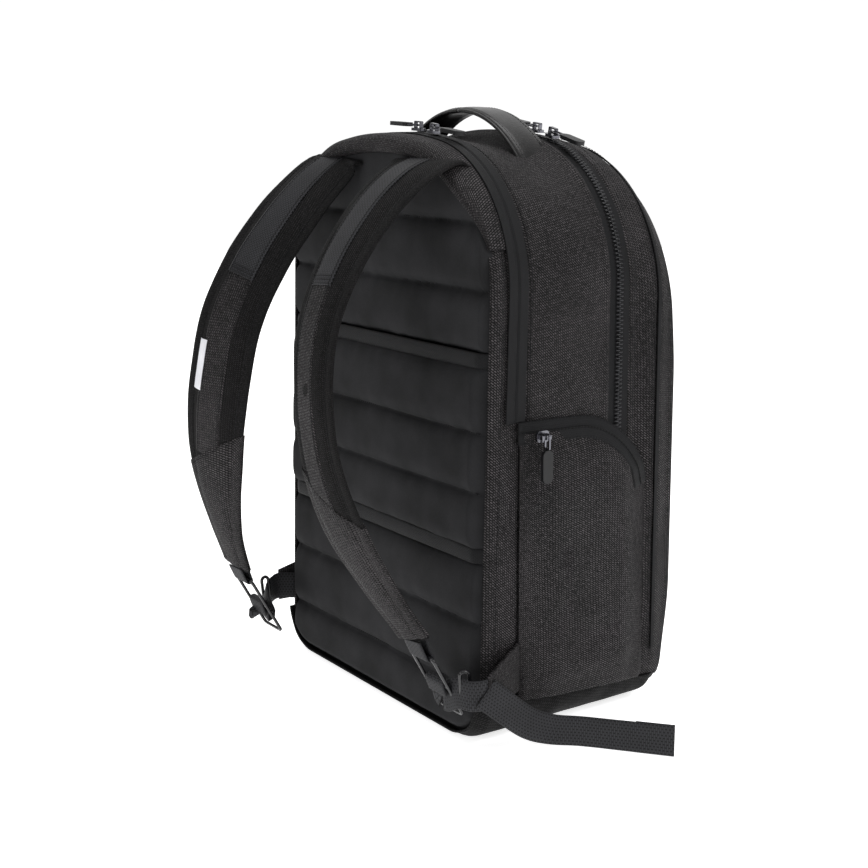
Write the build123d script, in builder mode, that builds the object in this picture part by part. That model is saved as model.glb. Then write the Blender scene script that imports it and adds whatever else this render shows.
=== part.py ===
"""School backpack with a quilted back, a luggage sleeve, two shoulder straps and five zipped openings.

Millimetres. +X is the wearer's right, +Y points to the wearer's back and +Z is up.
The origin is the middle of the flat underside of the base.
"""

import os
from math import asin, atan2, copysign, cos, degrees, radians, sin, sqrt, tan

from build123d import *

# ---------------------------------------------------------------- driving dimensions
BODY_WIDTH = 306.0
BODY_HEIGHT = 478.0
BODY_DEPTH = 190.0  # at the base, without the front pocket
BACK_LEAN = 1.8  # degrees that the back leans forward
CROWN_R = 320.0  # wide arc over the top
SHOULDER_R = 115.0  # arc between the crown and each side
BOTTOM_R = 40.0
SHELL = 3.0  # lined and padded fabric wall
FRONT_DROP = 26.0  # the front arch is this much lower than the main arch
BASE_RISE = 34.0  # height of the base tub's wall
GAP = 0.3  # clearance between neighbours
LINING_GAP = 1.2  # clearance inside the shell, which leans against the upright pieces

SLEEVE_T = 5.0
SLEEVE_SLOT = 6.5  # clear depth behind the luggage sleeve
SLEEVE_BOTTOM = 151.0  # along the back plane
SLEEVE_TOP = 316.0
HEM_W = 12.0
HEM_T = 1.4
PAD_T = 9.0
SHEET_T = 2.0  # stiff sheet behind the quilted pad
DIVIDER_T = 4.0
LAPTOP_DEPTH = 24.0  # clear depth of the laptop compartment
BOARD_T = 4.0

LAPTOP_ZIP_IN = 26.0  # zip centre line, measured in from the back plane
LAPTOP_ZIP_END = 262.0
MAIN_ZIP_Y = -43.0
ZIP_LIFT = 0.7  # tape above the shell
TAPE_W = 20.0
TAPE_T = 1.2
COIL_W = 5.0
COIL_T = 1.7

SIDE_POCKET_OUT = 12.0
SIDE_POCKET_REAR_IN = 38.0  # its rear edge, in from the back of the base
SIDE_POCKET_FRONT_IN = 21.0  # its front edge, in from the front panel
SIDE_POCKET_TOP = 262.0
SIDE_POCKET_CORNER = 80.0  # large round at the upper front corner
FRONT_POCKET_OUT = 17.0
FRONT_POCKET_WIDTH = 244.0
FRONT_POCKET_TOP = 345.0
FRONT_POCKET_CORNER = 30.0
POCKET_WALL = 2.5

HANDLE_SPAN = 176.0
HANDLE_W = 34.0
HANDLE_T = 4.5
HANDLE_RISE = 21.0  # above the crown
HANDLE_Y = -12.0
GRIP_HALF = 72.0  # the part of the handle that tips, each side of the middle

STRAP_T = 12.0
STRAP_TOP_W = 74.0
STRAP_MID_W = 62.0
STRAP_END_MARGIN = 5.0  # padded strap beyond each edge of the webbing at its lower end
WEBBING_W = 26.0
WEBBING_T = 1.6
WEBBING_SLACK = 2.0  # room for webbing across a buckle
BUCKLE_L = 62.0
WIRE_R = 1.5
BUCKLE_TILT = 29.0  # degrees from upright
WING_T = 3.0
WING_BOTTOM = 46.0
WING_TOP = 105.0

SLIDER_L = 12.0
SLIDER_W = 9.0
SLIDER_T = 2.2
BRIDGE_L = 9.0
BRIDGE_H = 5.6
BRIDGE_W = 3.2
BRIDGE_T = 1.1
LINK_L = 13.0
LINK_W = 7.6
LINK_T = 1.4
RING_R = 3.4  # a hanging link, which loops round the bridge
TAB_L = 26.0
TAB_W = 9.6
TAB_T = 3.2

# ---------------------------------------------------------------- derived places
HALF_W = BODY_WIDTH / 2
BACK_Y = BODY_DEPTH / 2
FRONT_Y = -BODY_DEPTH / 2
SIDE_POCKET_BACK = BACK_Y - SIDE_POCKET_REAR_IN
SIDE_POCKET_FRONT = FRONT_Y + SIDE_POCKET_FRONT_IN
SHOULDER_X = HALF_W - SHOULDER_R
CROWN_Z = BODY_HEIGHT - CROWN_R
SHOULDER_Z = CROWN_Z + sqrt((CROWN_R - SHOULDER_R) ** 2 - SHOULDER_X**2)
BACK = Plane(
    origin=(0, BACK_Y, 0),
    x_dir=(-1, 0, 0),
    z_dir=(0, cos(radians(BACK_LEAN)), sin(radians(BACK_LEAN))),
)
PAD_FACE = SLEEVE_T + SLEEVE_SLOT  # depth of the quilted pad's face behind the back plane
SHEET_FACE = PAD_FACE + PAD_T + GAP
DIVIDER_FACE = SHEET_FACE + SHEET_T + LAPTOP_DEPTH
LINING_INSET = SHELL + LINING_GAP
MAIN_ZIP_END = SIDE_POCKET_TOP + GAP  # the main zip runs down behind the side pockets' top edge
COIL_BASE = ZIP_LIFT + TAPE_T + GAP
SLIDER_BASE = COIL_BASE + COIL_T + GAP
SLIDER_TOP = SLIDER_BASE + SLIDER_T
STRAP_END_W = WEBBING_W + 2 * STRAP_END_MARGIN
BUCKLE_W = WEBBING_W + 4 * WIRE_R + WEBBING_SLACK
SIDES = (("left", -1), ("right", 1))

os.makedirs("parts", exist_ok=True)


def save(builder, name):
    """Labels a finished piece and writes it to its own file."""
    builder.part.label = name
    export_step(builder.part, f"parts/{name}.step")


def front_plane(y):
    """Upright sketch plane at depth y, with its normal along +Y and its x axis along -X."""
    return Plane(origin=(0, y, 0), x_dir=(-1, 0, 0), z_dir=(0, 1, 0))


def side_plane(x):
    """Upright sketch plane at x, with its normal along +X and its x axis along +Y."""
    return Plane(origin=(x, 0, 0), x_dir=(0, 1, 0), z_dir=(1, 0, 0))


def pack_outline(inset=0.0, drop=0.0):
    """The arched outline as a face: upright sides, two shoulder arcs and one crown arc."""
    half = HALF_W - inset
    shoulder_z = SHOULDER_Z - drop
    lean = degrees(atan2(SHOULDER_Z - CROWN_Z, SHOULDER_X))
    foot = HALF_W - BOTTOM_R
    with BuildSketch(mode=Mode.PRIVATE) as face:
        with BuildLine():
            Line((-foot, inset), (foot, inset))
            CenterArc((foot, BOTTOM_R), BOTTOM_R - inset, -90, 90)
            Line((half, BOTTOM_R), (half, shoulder_z))
            CenterArc((SHOULDER_X, shoulder_z), SHOULDER_R - inset, 0, lean)
            CenterArc((0, CROWN_Z - drop), CROWN_R - inset, lean, 180 - 2 * lean)
            CenterArc((-SHOULDER_X, shoulder_z), SHOULDER_R - inset, 180 - lean, lean)
            Line((-half, shoulder_z), (-half, BOTTOM_R))
            CenterArc((-foot, BOTTOM_R), BOTTOM_R - inset, 180, 90)
        make_face()
    return face.sketch


def arch_arc(x):
    """Middle (x and z) and radius of the arc that passes over x in the main arch."""
    if abs(x) < CROWN_R * SHOULDER_X / (CROWN_R - SHOULDER_R):
        return 0.0, CROWN_Z, CROWN_R
    return copysign(SHOULDER_X, x), SHOULDER_Z, SHOULDER_R


def arch_height(x):
    """Height of the main arch above the floor at distance x from the middle."""
    middle_x, middle_z, radius = arch_arc(x)
    return middle_z + sqrt(radius**2 - (x - middle_x) ** 2)


# ---------------------------------------------------------------- quilted back
with BuildPart() as back_pad:
    with BuildSketch(BACK.offset(-PAD_FACE - PAD_T)):
        add(pack_outline(LINING_INSET))
    extrude(amount=PAD_T)
save(back_pad, "quilted_back_pad")

with BuildPart() as back_sheet:
    with BuildSketch(BACK.offset(-SHEET_FACE - SHEET_T)):
        add(pack_outline(LINING_INSET))
    extrude(amount=SHEET_T)
save(back_sheet, "back_stiffener_sheet")

SLEEVE_HALF = HALF_W - LINING_INSET
with BuildPart() as sleeve:
    with BuildSketch(BACK.offset(-SLEEVE_T)):
        with BuildLine():
            Polyline(
                (-SLEEVE_HALF, SLEEVE_BOTTOM),
                (SLEEVE_HALF, SLEEVE_BOTTOM),
                (SLEEVE_HALF, SLEEVE_TOP),
                (-SLEEVE_HALF, SLEEVE_TOP),
                close=True,
            )
        make_face()
    extrude(amount=SLEEVE_T)
save(sleeve, "luggage_sleeve_pad")

# The sleeve is sewn down along both sides, over a strip of piping.
with BuildPart() as sleeve_seams:
    with BuildSketch(BACK.offset(-PAD_FACE + GAP)):
        for sign in (-1, 1):
            with Locations((sign * (SLEEVE_HALF - HEM_W / 2), (SLEEVE_BOTTOM + SLEEVE_TOP) / 2)):
                Rectangle(HEM_W, SLEEVE_TOP - SLEEVE_BOTTOM)
    extrude(amount=SLEEVE_SLOT - 2 * GAP)
save(sleeve_seams, "luggage_sleeve_seams")

with BuildPart() as sleeve_hems:
    with BuildSketch(BACK.offset(GAP)):
        for z in (SLEEVE_BOTTOM + HEM_W / 2, SLEEVE_TOP - HEM_W / 2):
            with Locations((0, z)):
                Rectangle(2 * SLEEVE_HALF, HEM_W)
    extrude(amount=HEM_T)
save(sleeve_hems, "luggage_sleeve_hems")

# ---------------------------------------------------------------- shell
BASE_CUT = Plane.XY.offset(BASE_RISE)

with BuildPart() as laptop_gusset:
    with BuildSketch(BACK.offset(-LAPTOP_ZIP_IN + GAP / 2)):
        add(pack_outline())
        add(pack_outline(SHELL), mode=Mode.SUBTRACT)
    extrude(amount=LAPTOP_ZIP_IN)
    split(bisect_by=BASE_CUT.offset(GAP), keep=Keep.TOP)
save(laptop_gusset, "laptop_gusset")

with BuildPart() as body_gusset:
    with BuildSketch(BACK.offset(-LAPTOP_ZIP_IN - GAP / 2)):
        add(pack_outline())
    with BuildSketch(front_plane(MAIN_ZIP_Y + GAP / 2)):
        add(pack_outline())
    loft()
    with BuildSketch(BACK.offset(-LAPTOP_ZIP_IN - GAP / 2)):
        add(pack_outline(SHELL))
    with BuildSketch(front_plane(MAIN_ZIP_Y + GAP / 2)):
        add(pack_outline(SHELL))
    loft(mode=Mode.SUBTRACT)
    split(bisect_by=BASE_CUT.offset(GAP), keep=Keep.TOP)
save(body_gusset, "body_gusset")

with BuildPart() as front_gusset:
    with BuildSketch(front_plane(MAIN_ZIP_Y - GAP / 2)):
        add(pack_outline())
    with BuildSketch(front_plane(FRONT_Y + SHELL + GAP)):
        add(pack_outline(drop=FRONT_DROP))
    loft()
    with BuildSketch(front_plane(MAIN_ZIP_Y - GAP / 2)):
        add(pack_outline(SHELL))
    with BuildSketch(front_plane(FRONT_Y + SHELL + GAP)):
        add(pack_outline(SHELL, FRONT_DROP))
    loft(mode=Mode.SUBTRACT)
    split(bisect_by=BASE_CUT.offset(GAP), keep=Keep.TOP)
save(front_gusset, "front_gusset")

with BuildPart() as front_panel:
    with BuildSketch(front_plane(FRONT_Y)):
        add(pack_outline(drop=FRONT_DROP))
    extrude(amount=SHELL)
    split(bisect_by=BASE_CUT.offset(GAP), keep=Keep.TOP)
save(front_panel, "front_panel")

with BuildPart() as base_tub:
    with BuildSketch(front_plane(FRONT_Y)):
        add(pack_outline())
    extrude(amount=BODY_DEPTH - 2 * GAP)
    with BuildSketch(front_plane(FRONT_Y + SHELL)):
        add(pack_outline(SHELL))
    extrude(amount=BODY_DEPTH, mode=Mode.SUBTRACT)
    split(bisect_by=BASE_CUT, keep=Keep.BOTTOM)
save(base_tub, "base_tub")

BOARD_FRONT = FRONT_Y + SHELL + GAP
BOARD_BACK = BACK_Y - SHEET_FACE - SHEET_T - 2 * GAP
BOARD_HALF = HALF_W - BOTTOM_R
with BuildPart() as base_board:
    with BuildSketch(Plane.XY.offset(LINING_INSET)):
        with Locations((0, (BOARD_FRONT + BOARD_BACK) / 2)):
            Rectangle(2 * BOARD_HALF, BOARD_BACK - BOARD_FRONT)
    extrude(amount=BOARD_T)
save(base_board, "base_board")

with BuildPart() as divider:
    with BuildSketch(BACK.offset(-DIVIDER_FACE - DIVIDER_T)):
        add(pack_outline(LINING_INSET + 2 * GAP))
    extrude(amount=DIVIDER_T)
    split(bisect_by=Plane.XY.offset(LINING_INSET + BOARD_T + GAP), keep=Keep.TOP)
    split(bisect_by=Plane.XY.offset(SHOULDER_Z), keep=Keep.BOTTOM)
save(divider, "laptop_divider")


# ---------------------------------------------------------------- arched zips
def arch_band(plane, outset, thickness, width, end_z):
    """A band that follows the outside of the pack's arch, from end_z upwards."""
    with BuildPart(mode=Mode.PRIVATE) as band:
        with BuildSketch(plane.offset(-width / 2)):
            add(pack_outline(-outset - thickness))
            add(pack_outline(-outset), mode=Mode.SUBTRACT)
        extrude(amount=width)
        split(bisect_by=Plane.XY.offset(end_z), keep=Keep.TOP)
    return band


LAPTOP_ZIP = BACK.offset(-LAPTOP_ZIP_IN)
MAIN_ZIP = front_plane(MAIN_ZIP_Y)
save(arch_band(LAPTOP_ZIP, ZIP_LIFT, TAPE_T, TAPE_W, LAPTOP_ZIP_END), "laptop_zip_tape")
save(arch_band(LAPTOP_ZIP, COIL_BASE, COIL_T, COIL_W, LAPTOP_ZIP_END + 4), "laptop_zip_coil")
save(arch_band(MAIN_ZIP, COIL_BASE, COIL_T, COIL_W, MAIN_ZIP_END + 4), "main_zip_coil")

# The main tape bends with the shell: its front half slopes down to the lower front arch.
FRONT_SLOPE = FRONT_DROP / (MAIN_ZIP_Y - FRONT_Y - SHELL)
HALF_TAPE_DROP = FRONT_SLOPE * TAPE_W / 2
with BuildPart() as main_tape:
    with BuildSketch(MAIN_ZIP.offset(GAP / 2)):
        add(pack_outline(-ZIP_LIFT - TAPE_T))
        add(pack_outline(-ZIP_LIFT), mode=Mode.SUBTRACT)
    extrude(amount=TAPE_W / 2)
    with BuildSketch(MAIN_ZIP.offset(-GAP / 2)):
        add(pack_outline(-ZIP_LIFT - TAPE_T))
    with BuildSketch(MAIN_ZIP.offset(-TAPE_W / 2)):
        add(pack_outline(-ZIP_LIFT - TAPE_T, HALF_TAPE_DROP))
    loft()
    with BuildSketch(MAIN_ZIP.offset(-GAP / 2)):
        add(pack_outline(-ZIP_LIFT))
    with BuildSketch(MAIN_ZIP.offset(-TAPE_W / 2)):
        add(pack_outline(-ZIP_LIFT, HALF_TAPE_DROP))
    loft(mode=Mode.SUBTRACT)
    split(bisect_by=Plane.XY.offset(MAIN_ZIP_END), keep=Keep.TOP)
save(main_tape, "main_zip_tape")


# ---------------------------------------------------------------- pockets
def side_pocket_outline(inset):
    """Side pocket seen from the side: square at the back, with one large round at the upper front."""
    back = SIDE_POCKET_BACK - inset
    front = SIDE_POCKET_FRONT + inset
    top = SIDE_POCKET_TOP - inset
    bottom = BASE_RISE + GAP + inset
    round_r = SIDE_POCKET_CORNER - inset
    with BuildSketch(mode=Mode.PRIVATE) as face:
        with BuildLine():
            Polyline((back, top), (back, bottom), (front, bottom), (front, top - round_r))
            RadiusArc((front, top - round_r), (front + round_r, top), round_r)
            Line((front + round_r, top), (back, top))
        make_face()
    return face.sketch


FRONT_POCKET_H = FRONT_POCKET_TOP - BASE_RISE - GAP
FRONT_POCKET_MID = BASE_RISE + GAP + FRONT_POCKET_H / 2
POCKET_FACE = HALF_W + SIDE_POCKET_OUT
POCKET_TAPE_W = 18.0
BELOW = (Align.CENTER, Align.MAX)
ZIP_EDGE_IN = 10.0  # side pocket zip centre line, in from the pocket's edge
POCKET_TAPE_IN = ZIP_EDGE_IN + POCKET_TAPE_W / 2
SLIDE_Z = SIDE_POCKET_TOP - ZIP_EDGE_IN

for side, sign in SIDES:
    with BuildPart() as side_pocket:
        with BuildSketch(side_plane(sign * (HALF_W + GAP))):
            add(side_pocket_outline(0))
        extrude(amount=sign * (SIDE_POCKET_OUT - GAP))
        with BuildSketch(side_plane(sign * (HALF_W + GAP))):
            add(side_pocket_outline(POCKET_WALL))
        extrude(amount=sign * (SIDE_POCKET_OUT - GAP - POCKET_WALL), mode=Mode.SUBTRACT)
    save(side_pocket, f"{side}_side_pocket")

    with BuildPart() as pocket_zip:
        with BuildSketch(side_plane(sign * (POCKET_FACE + GAP))):
            add(side_pocket_outline(ZIP_EDGE_IN - POCKET_TAPE_W / 2))
            add(side_pocket_outline(POCKET_TAPE_IN), mode=Mode.SUBTRACT)
            with Locations((SIDE_POCKET_BACK, SIDE_POCKET_TOP - SIDE_POCKET_CORNER)):
                Rectangle(2 * BODY_DEPTH, SIDE_POCKET_TOP, align=BELOW, mode=Mode.SUBTRACT)
                Rectangle(2 * TAPE_W, 2 * (SIDE_POCKET_CORNER - POCKET_TAPE_IN), mode=Mode.SUBTRACT)
        extrude(amount=sign * TAPE_T)
    save(pocket_zip, f"{side}_pocket_zip_tape")

with BuildPart() as front_pocket:
    with BuildSketch(front_plane(FRONT_Y - GAP)):
        with Locations((0, FRONT_POCKET_MID)):
            RectangleRounded(FRONT_POCKET_WIDTH, FRONT_POCKET_H, FRONT_POCKET_CORNER)
    extrude(amount=-FRONT_POCKET_OUT)
    with BuildSketch(front_plane(FRONT_Y - GAP)):
        with Locations((0, FRONT_POCKET_MID)):
            RectangleRounded(
                FRONT_POCKET_WIDTH - 2 * POCKET_WALL,
                FRONT_POCKET_H - 2 * POCKET_WALL,
                FRONT_POCKET_CORNER - POCKET_WALL,
            )
    extrude(amount=-FRONT_POCKET_OUT + POCKET_WALL, mode=Mode.SUBTRACT)
save(front_pocket, "front_pocket")

# ---------------------------------------------------------------- zip sliders and their pulls
BAR_RISE = SLIDER_TOP + BRIDGE_H - BRIDGE_T / 2  # middle of the bridge above the shell
HOLE_L = BRIDGE_L - 2 * BRIDGE_T
HOLE_RISE = SLIDER_TOP + (BRIDGE_H - BRIDGE_T) / 2  # middle of the hole under the bridge


def slider(plane, name):
    """A zip slider. The plane's x axis runs along the zip and its normal points off the shell."""
    with BuildPart() as body:
        with BuildSketch(plane.offset(SLIDER_BASE)):
            RectangleRounded(SLIDER_L, SLIDER_W, SLIDER_W * 0.35)
        extrude(amount=SLIDER_T)
        upright = Plane(origin=plane.origin, x_dir=plane.x_dir, z_dir=-plane.y_dir)
        with BuildSketch(upright.offset(-BRIDGE_W / 2)):
            with Locations((0, SLIDER_TOP + BRIDGE_H / 2 - 0.2)):
                RectangleRounded(BRIDGE_L, BRIDGE_H + 0.4, BRIDGE_T)
            with Locations((0, HOLE_RISE)):
                RectangleRounded(HOLE_L, BRIDGE_H - BRIDGE_T, BRIDGE_T / 2, mode=Mode.SUBTRACT)
        extrude(amount=BRIDGE_W)
    save(body, name)


def pull(origin, along, flat, hangs, name):
    """A wire link from the pivot at origin and a tab beyond it, which lies flat to the given normal.

    A hanging link loops round the bridge. A lying one passes its end bar through the bridge.
    """
    ring_normal = along.cross(flat) if hangs else flat
    width = 2 * RING_R if hangs else LINK_W
    start = RING_R if hangs else LINK_T / 2
    corner = width * 0.3
    with BuildPart() as link:
        with BuildSketch(Plane(origin=origin, x_dir=along, z_dir=ring_normal)):
            with Locations((LINK_L / 2 - start, 0)):
                RectangleRounded(LINK_L, width, corner)
                RectangleRounded(
                    LINK_L - 2 * LINK_T, width - 2 * LINK_T, corner - LINK_T, mode=Mode.SUBTRACT
                )
        extrude(amount=LINK_T / 2, both=True)
    save(link, f"{name}_link")
    with BuildPart() as tab:
        with BuildSketch(Plane(origin=origin, x_dir=along, z_dir=flat)):
            with Locations((LINK_L - start + GAP + TAB_L / 2, 0)):
                RectangleRounded(TAB_L, TAB_W, TAB_W * 0.45)
        extrude(amount=TAB_T / 2, both=True)
    save(tab, f"{name}_tab")


TOP_SLIDERS = (  # each arched zip and the X where its left and right sliders rest
    ("laptop", LAPTOP_ZIP, (-36.0, -14.0)),
    ("main", MAIN_ZIP, (-66.0, -46.0)),
)
for zip_name, zip_plane, rests in TOP_SLIDERS:
    for (side, sign), rest in zip(SIDES, rests):
        middle_x, middle_z, radius = arch_arc(rest)
        turn = asin((rest - middle_x) / radius)
        outward = zip_plane.y_dir * cos(turn) + Vector(sin(turn), 0, 0)
        along = (Vector(cos(turn), 0, 0) - zip_plane.y_dir * sin(turn)) * sign
        middle = zip_plane.origin + Vector(middle_x, 0, 0) + zip_plane.y_dir * middle_z
        foot = middle + outward * radius
        slider(Plane(origin=foot, x_dir=along, z_dir=outward), f"{zip_name}_{side}_slider")
        pull(foot + outward * HOLE_RISE, along, outward, False, f"{zip_name}_{side}_pull")

FLAT_ZIP_SINK = SLIDER_BASE - TAPE_T - 2 * GAP  # pocket sliders ride on the flat tape
POCKET_SLIDER_Y = SIDE_POCKET_BACK - SLIDER_L
DOWN = Vector(0, 0, -1)
for side, sign in SIDES:
    outward = Vector(sign, 0, 0)
    foot = Vector(sign * (POCKET_FACE - FLAT_ZIP_SINK), POCKET_SLIDER_Y, SLIDE_Z)
    slider(Plane(origin=foot, x_dir=(0, 1, 0), z_dir=outward), f"{side}_pocket_slider")
    pull(foot + outward * BAR_RISE, DOWN, outward, True, f"{side}_pocket_pull")

FRONT_ZIP_Z = FRONT_POCKET_TOP - TAPE_W
FRONT_ZIP_HALF = FRONT_POCKET_WIDTH / 2 - 8
FRONT_FACE = FRONT_Y - GAP - FRONT_POCKET_OUT
with BuildPart() as front_zip:
    with BuildSketch(front_plane(FRONT_FACE - GAP)):
        with Locations((0, FRONT_ZIP_Z)):
            Rectangle(2 * FRONT_ZIP_HALF, TAPE_W)
    extrude(amount=-TAPE_T)
save(front_zip, "front_pocket_zip_tape")

outward = Vector(0, -1, 0)
foot = Vector(-FRONT_ZIP_HALF + SLIDER_L, FRONT_FACE + FLAT_ZIP_SINK, FRONT_ZIP_Z)
slider(Plane(origin=foot, x_dir=(1, 0, 0), z_dir=outward), "front_pocket_slider")
pull(foot + outward * BAR_RISE, DOWN, outward, True, "front_pocket_pull")

# ---------------------------------------------------------------- carrying handle
HANDLE_TOP = BODY_HEIGHT + HANDLE_RISE
HANDLE_FOOT = arch_height(HANDLE_SPAN / 2) + GAP
HANDLE_SAG = HANDLE_TOP - HANDLE_T - HANDLE_FOOT
HANDLE_R = (HANDLE_SPAN**2 / 4 + HANDLE_SAG**2) / (2 * HANDLE_SAG)  # underside
HANDLE_MID_Z = HANDLE_TOP - HANDLE_T - HANDLE_R


def handle_arc():
    """The full ring that the handle is cut from, seen from the front."""
    with BuildSketch(mode=Mode.PRIVATE) as ring:
        with Locations((0, HANDLE_MID_Z)):
            Circle(HANDLE_R + HANDLE_T)
            Circle(HANDLE_R, mode=Mode.SUBTRACT)
    return ring.sketch


with BuildPart() as grip:
    with BuildSketch(front_plane(HANDLE_Y - HANDLE_W / 2)):
        add(handle_arc())
        with Locations((0, HANDLE_TOP)):
            Rectangle(2 * GRIP_HALF, 2 * HANDLE_SAG, mode=Mode.INTERSECT)
    extrude(amount=HANDLE_W)
save(grip, "handle_grip")

with BuildPart() as handle_ends:
    with BuildSketch(front_plane(HANDLE_Y - HANDLE_W / 2)):
        add(handle_arc())
        with Locations((0, HANDLE_FOOT + HANDLE_SAG)):
            Rectangle(HANDLE_SPAN, 2 * HANDLE_SAG, mode=Mode.INTERSECT)
            Rectangle(2 * GRIP_HALF + 2 * GAP, 3 * HANDLE_SAG, mode=Mode.SUBTRACT)
    extrude(amount=HANDLE_W)
save(handle_ends, "handle_end_tabs")

# ---------------------------------------------------------------- shoulder straps
STRAP_TOP_Z = BODY_HEIGHT - 30
STRAP_MID_Z = 260.0
FACING_END_Z = BODY_HEIGHT - 148
STRAP_TOP_Y = BACK_Y - STRAP_TOP_Z * tan(radians(BACK_LEAN)) + STRAP_T / 2 + 2 * GAP
STRAP_PIVOT = (STRAP_TOP_Y, STRAP_TOP_Z)
STRAP_ROUTES = {  # Y and Z from the top seam to the lower end; the right strap hangs further out
    "left": (
        STRAP_PIVOT,
        (BACK_Y + 31, BODY_HEIGHT - 39),
        (BACK_Y + 70, BODY_HEIGHT - 84),
        (BACK_Y + 98, FACING_END_Z),
        (BACK_Y + 104, STRAP_MID_Z + 2),
        (BACK_Y + 88, 182),
        (BACK_Y + 57, 118),
        (BACK_Y + 38, 90),
    ),
    "right": (
        STRAP_PIVOT,
        (BACK_Y + 29, BODY_HEIGHT - 43),
        (BACK_Y + 62, BODY_HEIGHT - 86),
        (BACK_Y + 87, FACING_END_Z),
        (BACK_Y + 97, STRAP_MID_Z + 2),
        (BACK_Y + 93, 182),
        (BACK_Y + 77, 120),
        (BACK_Y + 63, 92),
    ),
}
STRAP_TOP_X = HALF_W - 83
STRAP_MID = (HALF_W - 63, STRAP_MID_Z)
STRAP_END_X = HALF_W - 27
LOOP_R = 1.3 * WIRE_R + GAP


def strap_profile(side, start, thickness):
    """One strap's side view: a strip of the given thickness whose near face is start off the route."""
    with BuildLine(mode=Mode.PRIVATE) as route:
        Spline(*STRAP_ROUTES[side])
    edge = route.edge()
    count = 24
    points = [edge @ (i / count) for i in range(count + 1)]
    normals = [(edge % (i / count)).rotate(Axis.Z, 90) for i in range(count + 1)]
    with BuildSketch(mode=Mode.PRIVATE) as strip:
        with BuildLine():
            near = Spline(*[p + n * start for p, n in zip(points, normals)])
            far = Spline(*[p + n * (start + thickness) for p, n in zip(points, normals)])
            Line(near @ 0, far @ 0)
            Line(near @ 1, far @ 1)
        make_face()
    return strip.sketch


def strap_plan(side, sign):
    """One strap's outline seen from the back of the pack, narrowing to its lower end."""
    low, high = STRAP_ROUTES[side][-1][1] - 20, STRAP_TOP_Z + 20
    with BuildSketch(mode=Mode.PRIVATE) as plan:
        with BuildLine():
            inner = Spline(
                (sign * (STRAP_END_X - STRAP_END_W / 2), low),
                (sign * (STRAP_MID[0] - STRAP_MID_W / 2), STRAP_MID[1]),
                (sign * (STRAP_TOP_X - STRAP_TOP_W / 2), high),
            )
            outer = Spline(
                (sign * (STRAP_END_X + STRAP_END_W / 2), low),
                (sign * (STRAP_MID[0] + STRAP_MID_W / 2), STRAP_MID[1]),
                (sign * (STRAP_TOP_X + STRAP_TOP_W / 2), high),
            )
            Line(inner @ 0, outer @ 0)
            Line(inner @ 1, outer @ 1)
        make_face()
    return plan.sketch


FLAT_PLAN = Plane(origin=(0, 0, 0), x_dir=(1, 0, 0), z_dir=(0, -1, 0))
BUCKLE_UP = Vector(0, sin(radians(BUCKLE_TILT)), cos(radians(BUCKLE_TILT)))
BUCKLE_OUT = Vector(0, cos(radians(BUCKLE_TILT)), -sin(radians(BUCKLE_TILT)))
BAR_OFFSET = (-3.0, -9.0)  # Y and Z of the buckle's top bar from the strap's lower end
LOOP_BODY = 7.0

for side, sign in SIDES:
    with BuildPart() as strap:
        with BuildSketch(side_plane(0)):
            add(strap_profile(side, -STRAP_T / 2, STRAP_T))
            with Locations(STRAP_PIVOT):
                Circle(STRAP_T / 2)
        extrude(amount=sign * 2 * HALF_W)
        with BuildSketch(FLAT_PLAN):
            add(strap_plan(side, sign))
        extrude(amount=2 * BODY_DEPTH, both=True, mode=Mode.INTERSECT)
    save(strap, f"{side}_strap_pad")

    with BuildPart() as facing:
        with BuildSketch(side_plane(sign * (STRAP_TOP_X + 2 - WEBBING_W / 2))):
            add(strap_profile(side, STRAP_T / 2 + GAP, WEBBING_T))
            with Locations((BACK_Y, FACING_END_Z - BODY_HEIGHT / 2)):
                Rectangle(2 * BODY_DEPTH, BODY_HEIGHT, mode=Mode.SUBTRACT)
        extrude(amount=sign * WEBBING_W)
    save(facing, f"{side}_strap_facing")

    # The end loop is webbing that goes round the buckle's top bar and back into the strap.
    strap_end = STRAP_ROUTES[side][-1]
    top_bar = (strap_end[0] + BAR_OFFSET[0], strap_end[1] + BAR_OFFSET[1])
    with BuildPart() as end_loop:
        with BuildSketch(side_plane(sign * (STRAP_END_X - WEBBING_W / 2))):
            with Locations(top_bar):
                Circle(LOOP_R + WEBBING_T)
            with Locations((top_bar[0] + 1.4, top_bar[1] + 4.8)):
                Rectangle(2 * WEBBING_T, LOOP_BODY, rotation=-18)
            with Locations(top_bar):
                Circle(LOOP_R, mode=Mode.SUBTRACT)
        extrude(amount=sign * WEBBING_W)
    save(end_loop, f"{side}_strap_end_loop")

    bar_middle = Vector(sign * STRAP_END_X, *top_bar)
    with BuildPart() as buckle:
        middle = bar_middle - BUCKLE_UP * (BUCKLE_L / 2 - WIRE_R)
        with BuildSketch(Plane(origin=middle, x_dir=(1, 0, 0), z_dir=BUCKLE_OUT)):
            RectangleRounded(BUCKLE_W, BUCKLE_L, 3 * WIRE_R)
            RectangleRounded(BUCKLE_W - 4 * WIRE_R, BUCKLE_L - 4 * WIRE_R, WIRE_R, mode=Mode.SUBTRACT)
            Rectangle(BUCKLE_W, 2 * WIRE_R)
        extrude(amount=WIRE_R * 0.8, both=True)
    save(buckle, f"{side}_buckle")

# ---------------------------------------------------------------- strap anchors at the bag's lower corners
WEB_Z = 55.0  # middle of the anchor webbing
WING_START = (HALF_W + GAP + WING_T / 2, BACK_Y - 35)
WING_L = 39.0
WING_DIR = Vector(0.33, 0.944, 0).normalized()
WING_TIP = (WING_START[0] + WING_L * WING_DIR.X, WING_START[1] + WING_L * WING_DIR.Y)
ANCHOR_END_IN = 28.5  # the webbing's end, in from the strap's lower end
KEEPER_AT = 0.45  # share of the anchor webbing's length
KEEPER_L = WEBBING_W + 2 * WIRE_R + 3
KEEPER_D = 6.0

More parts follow.
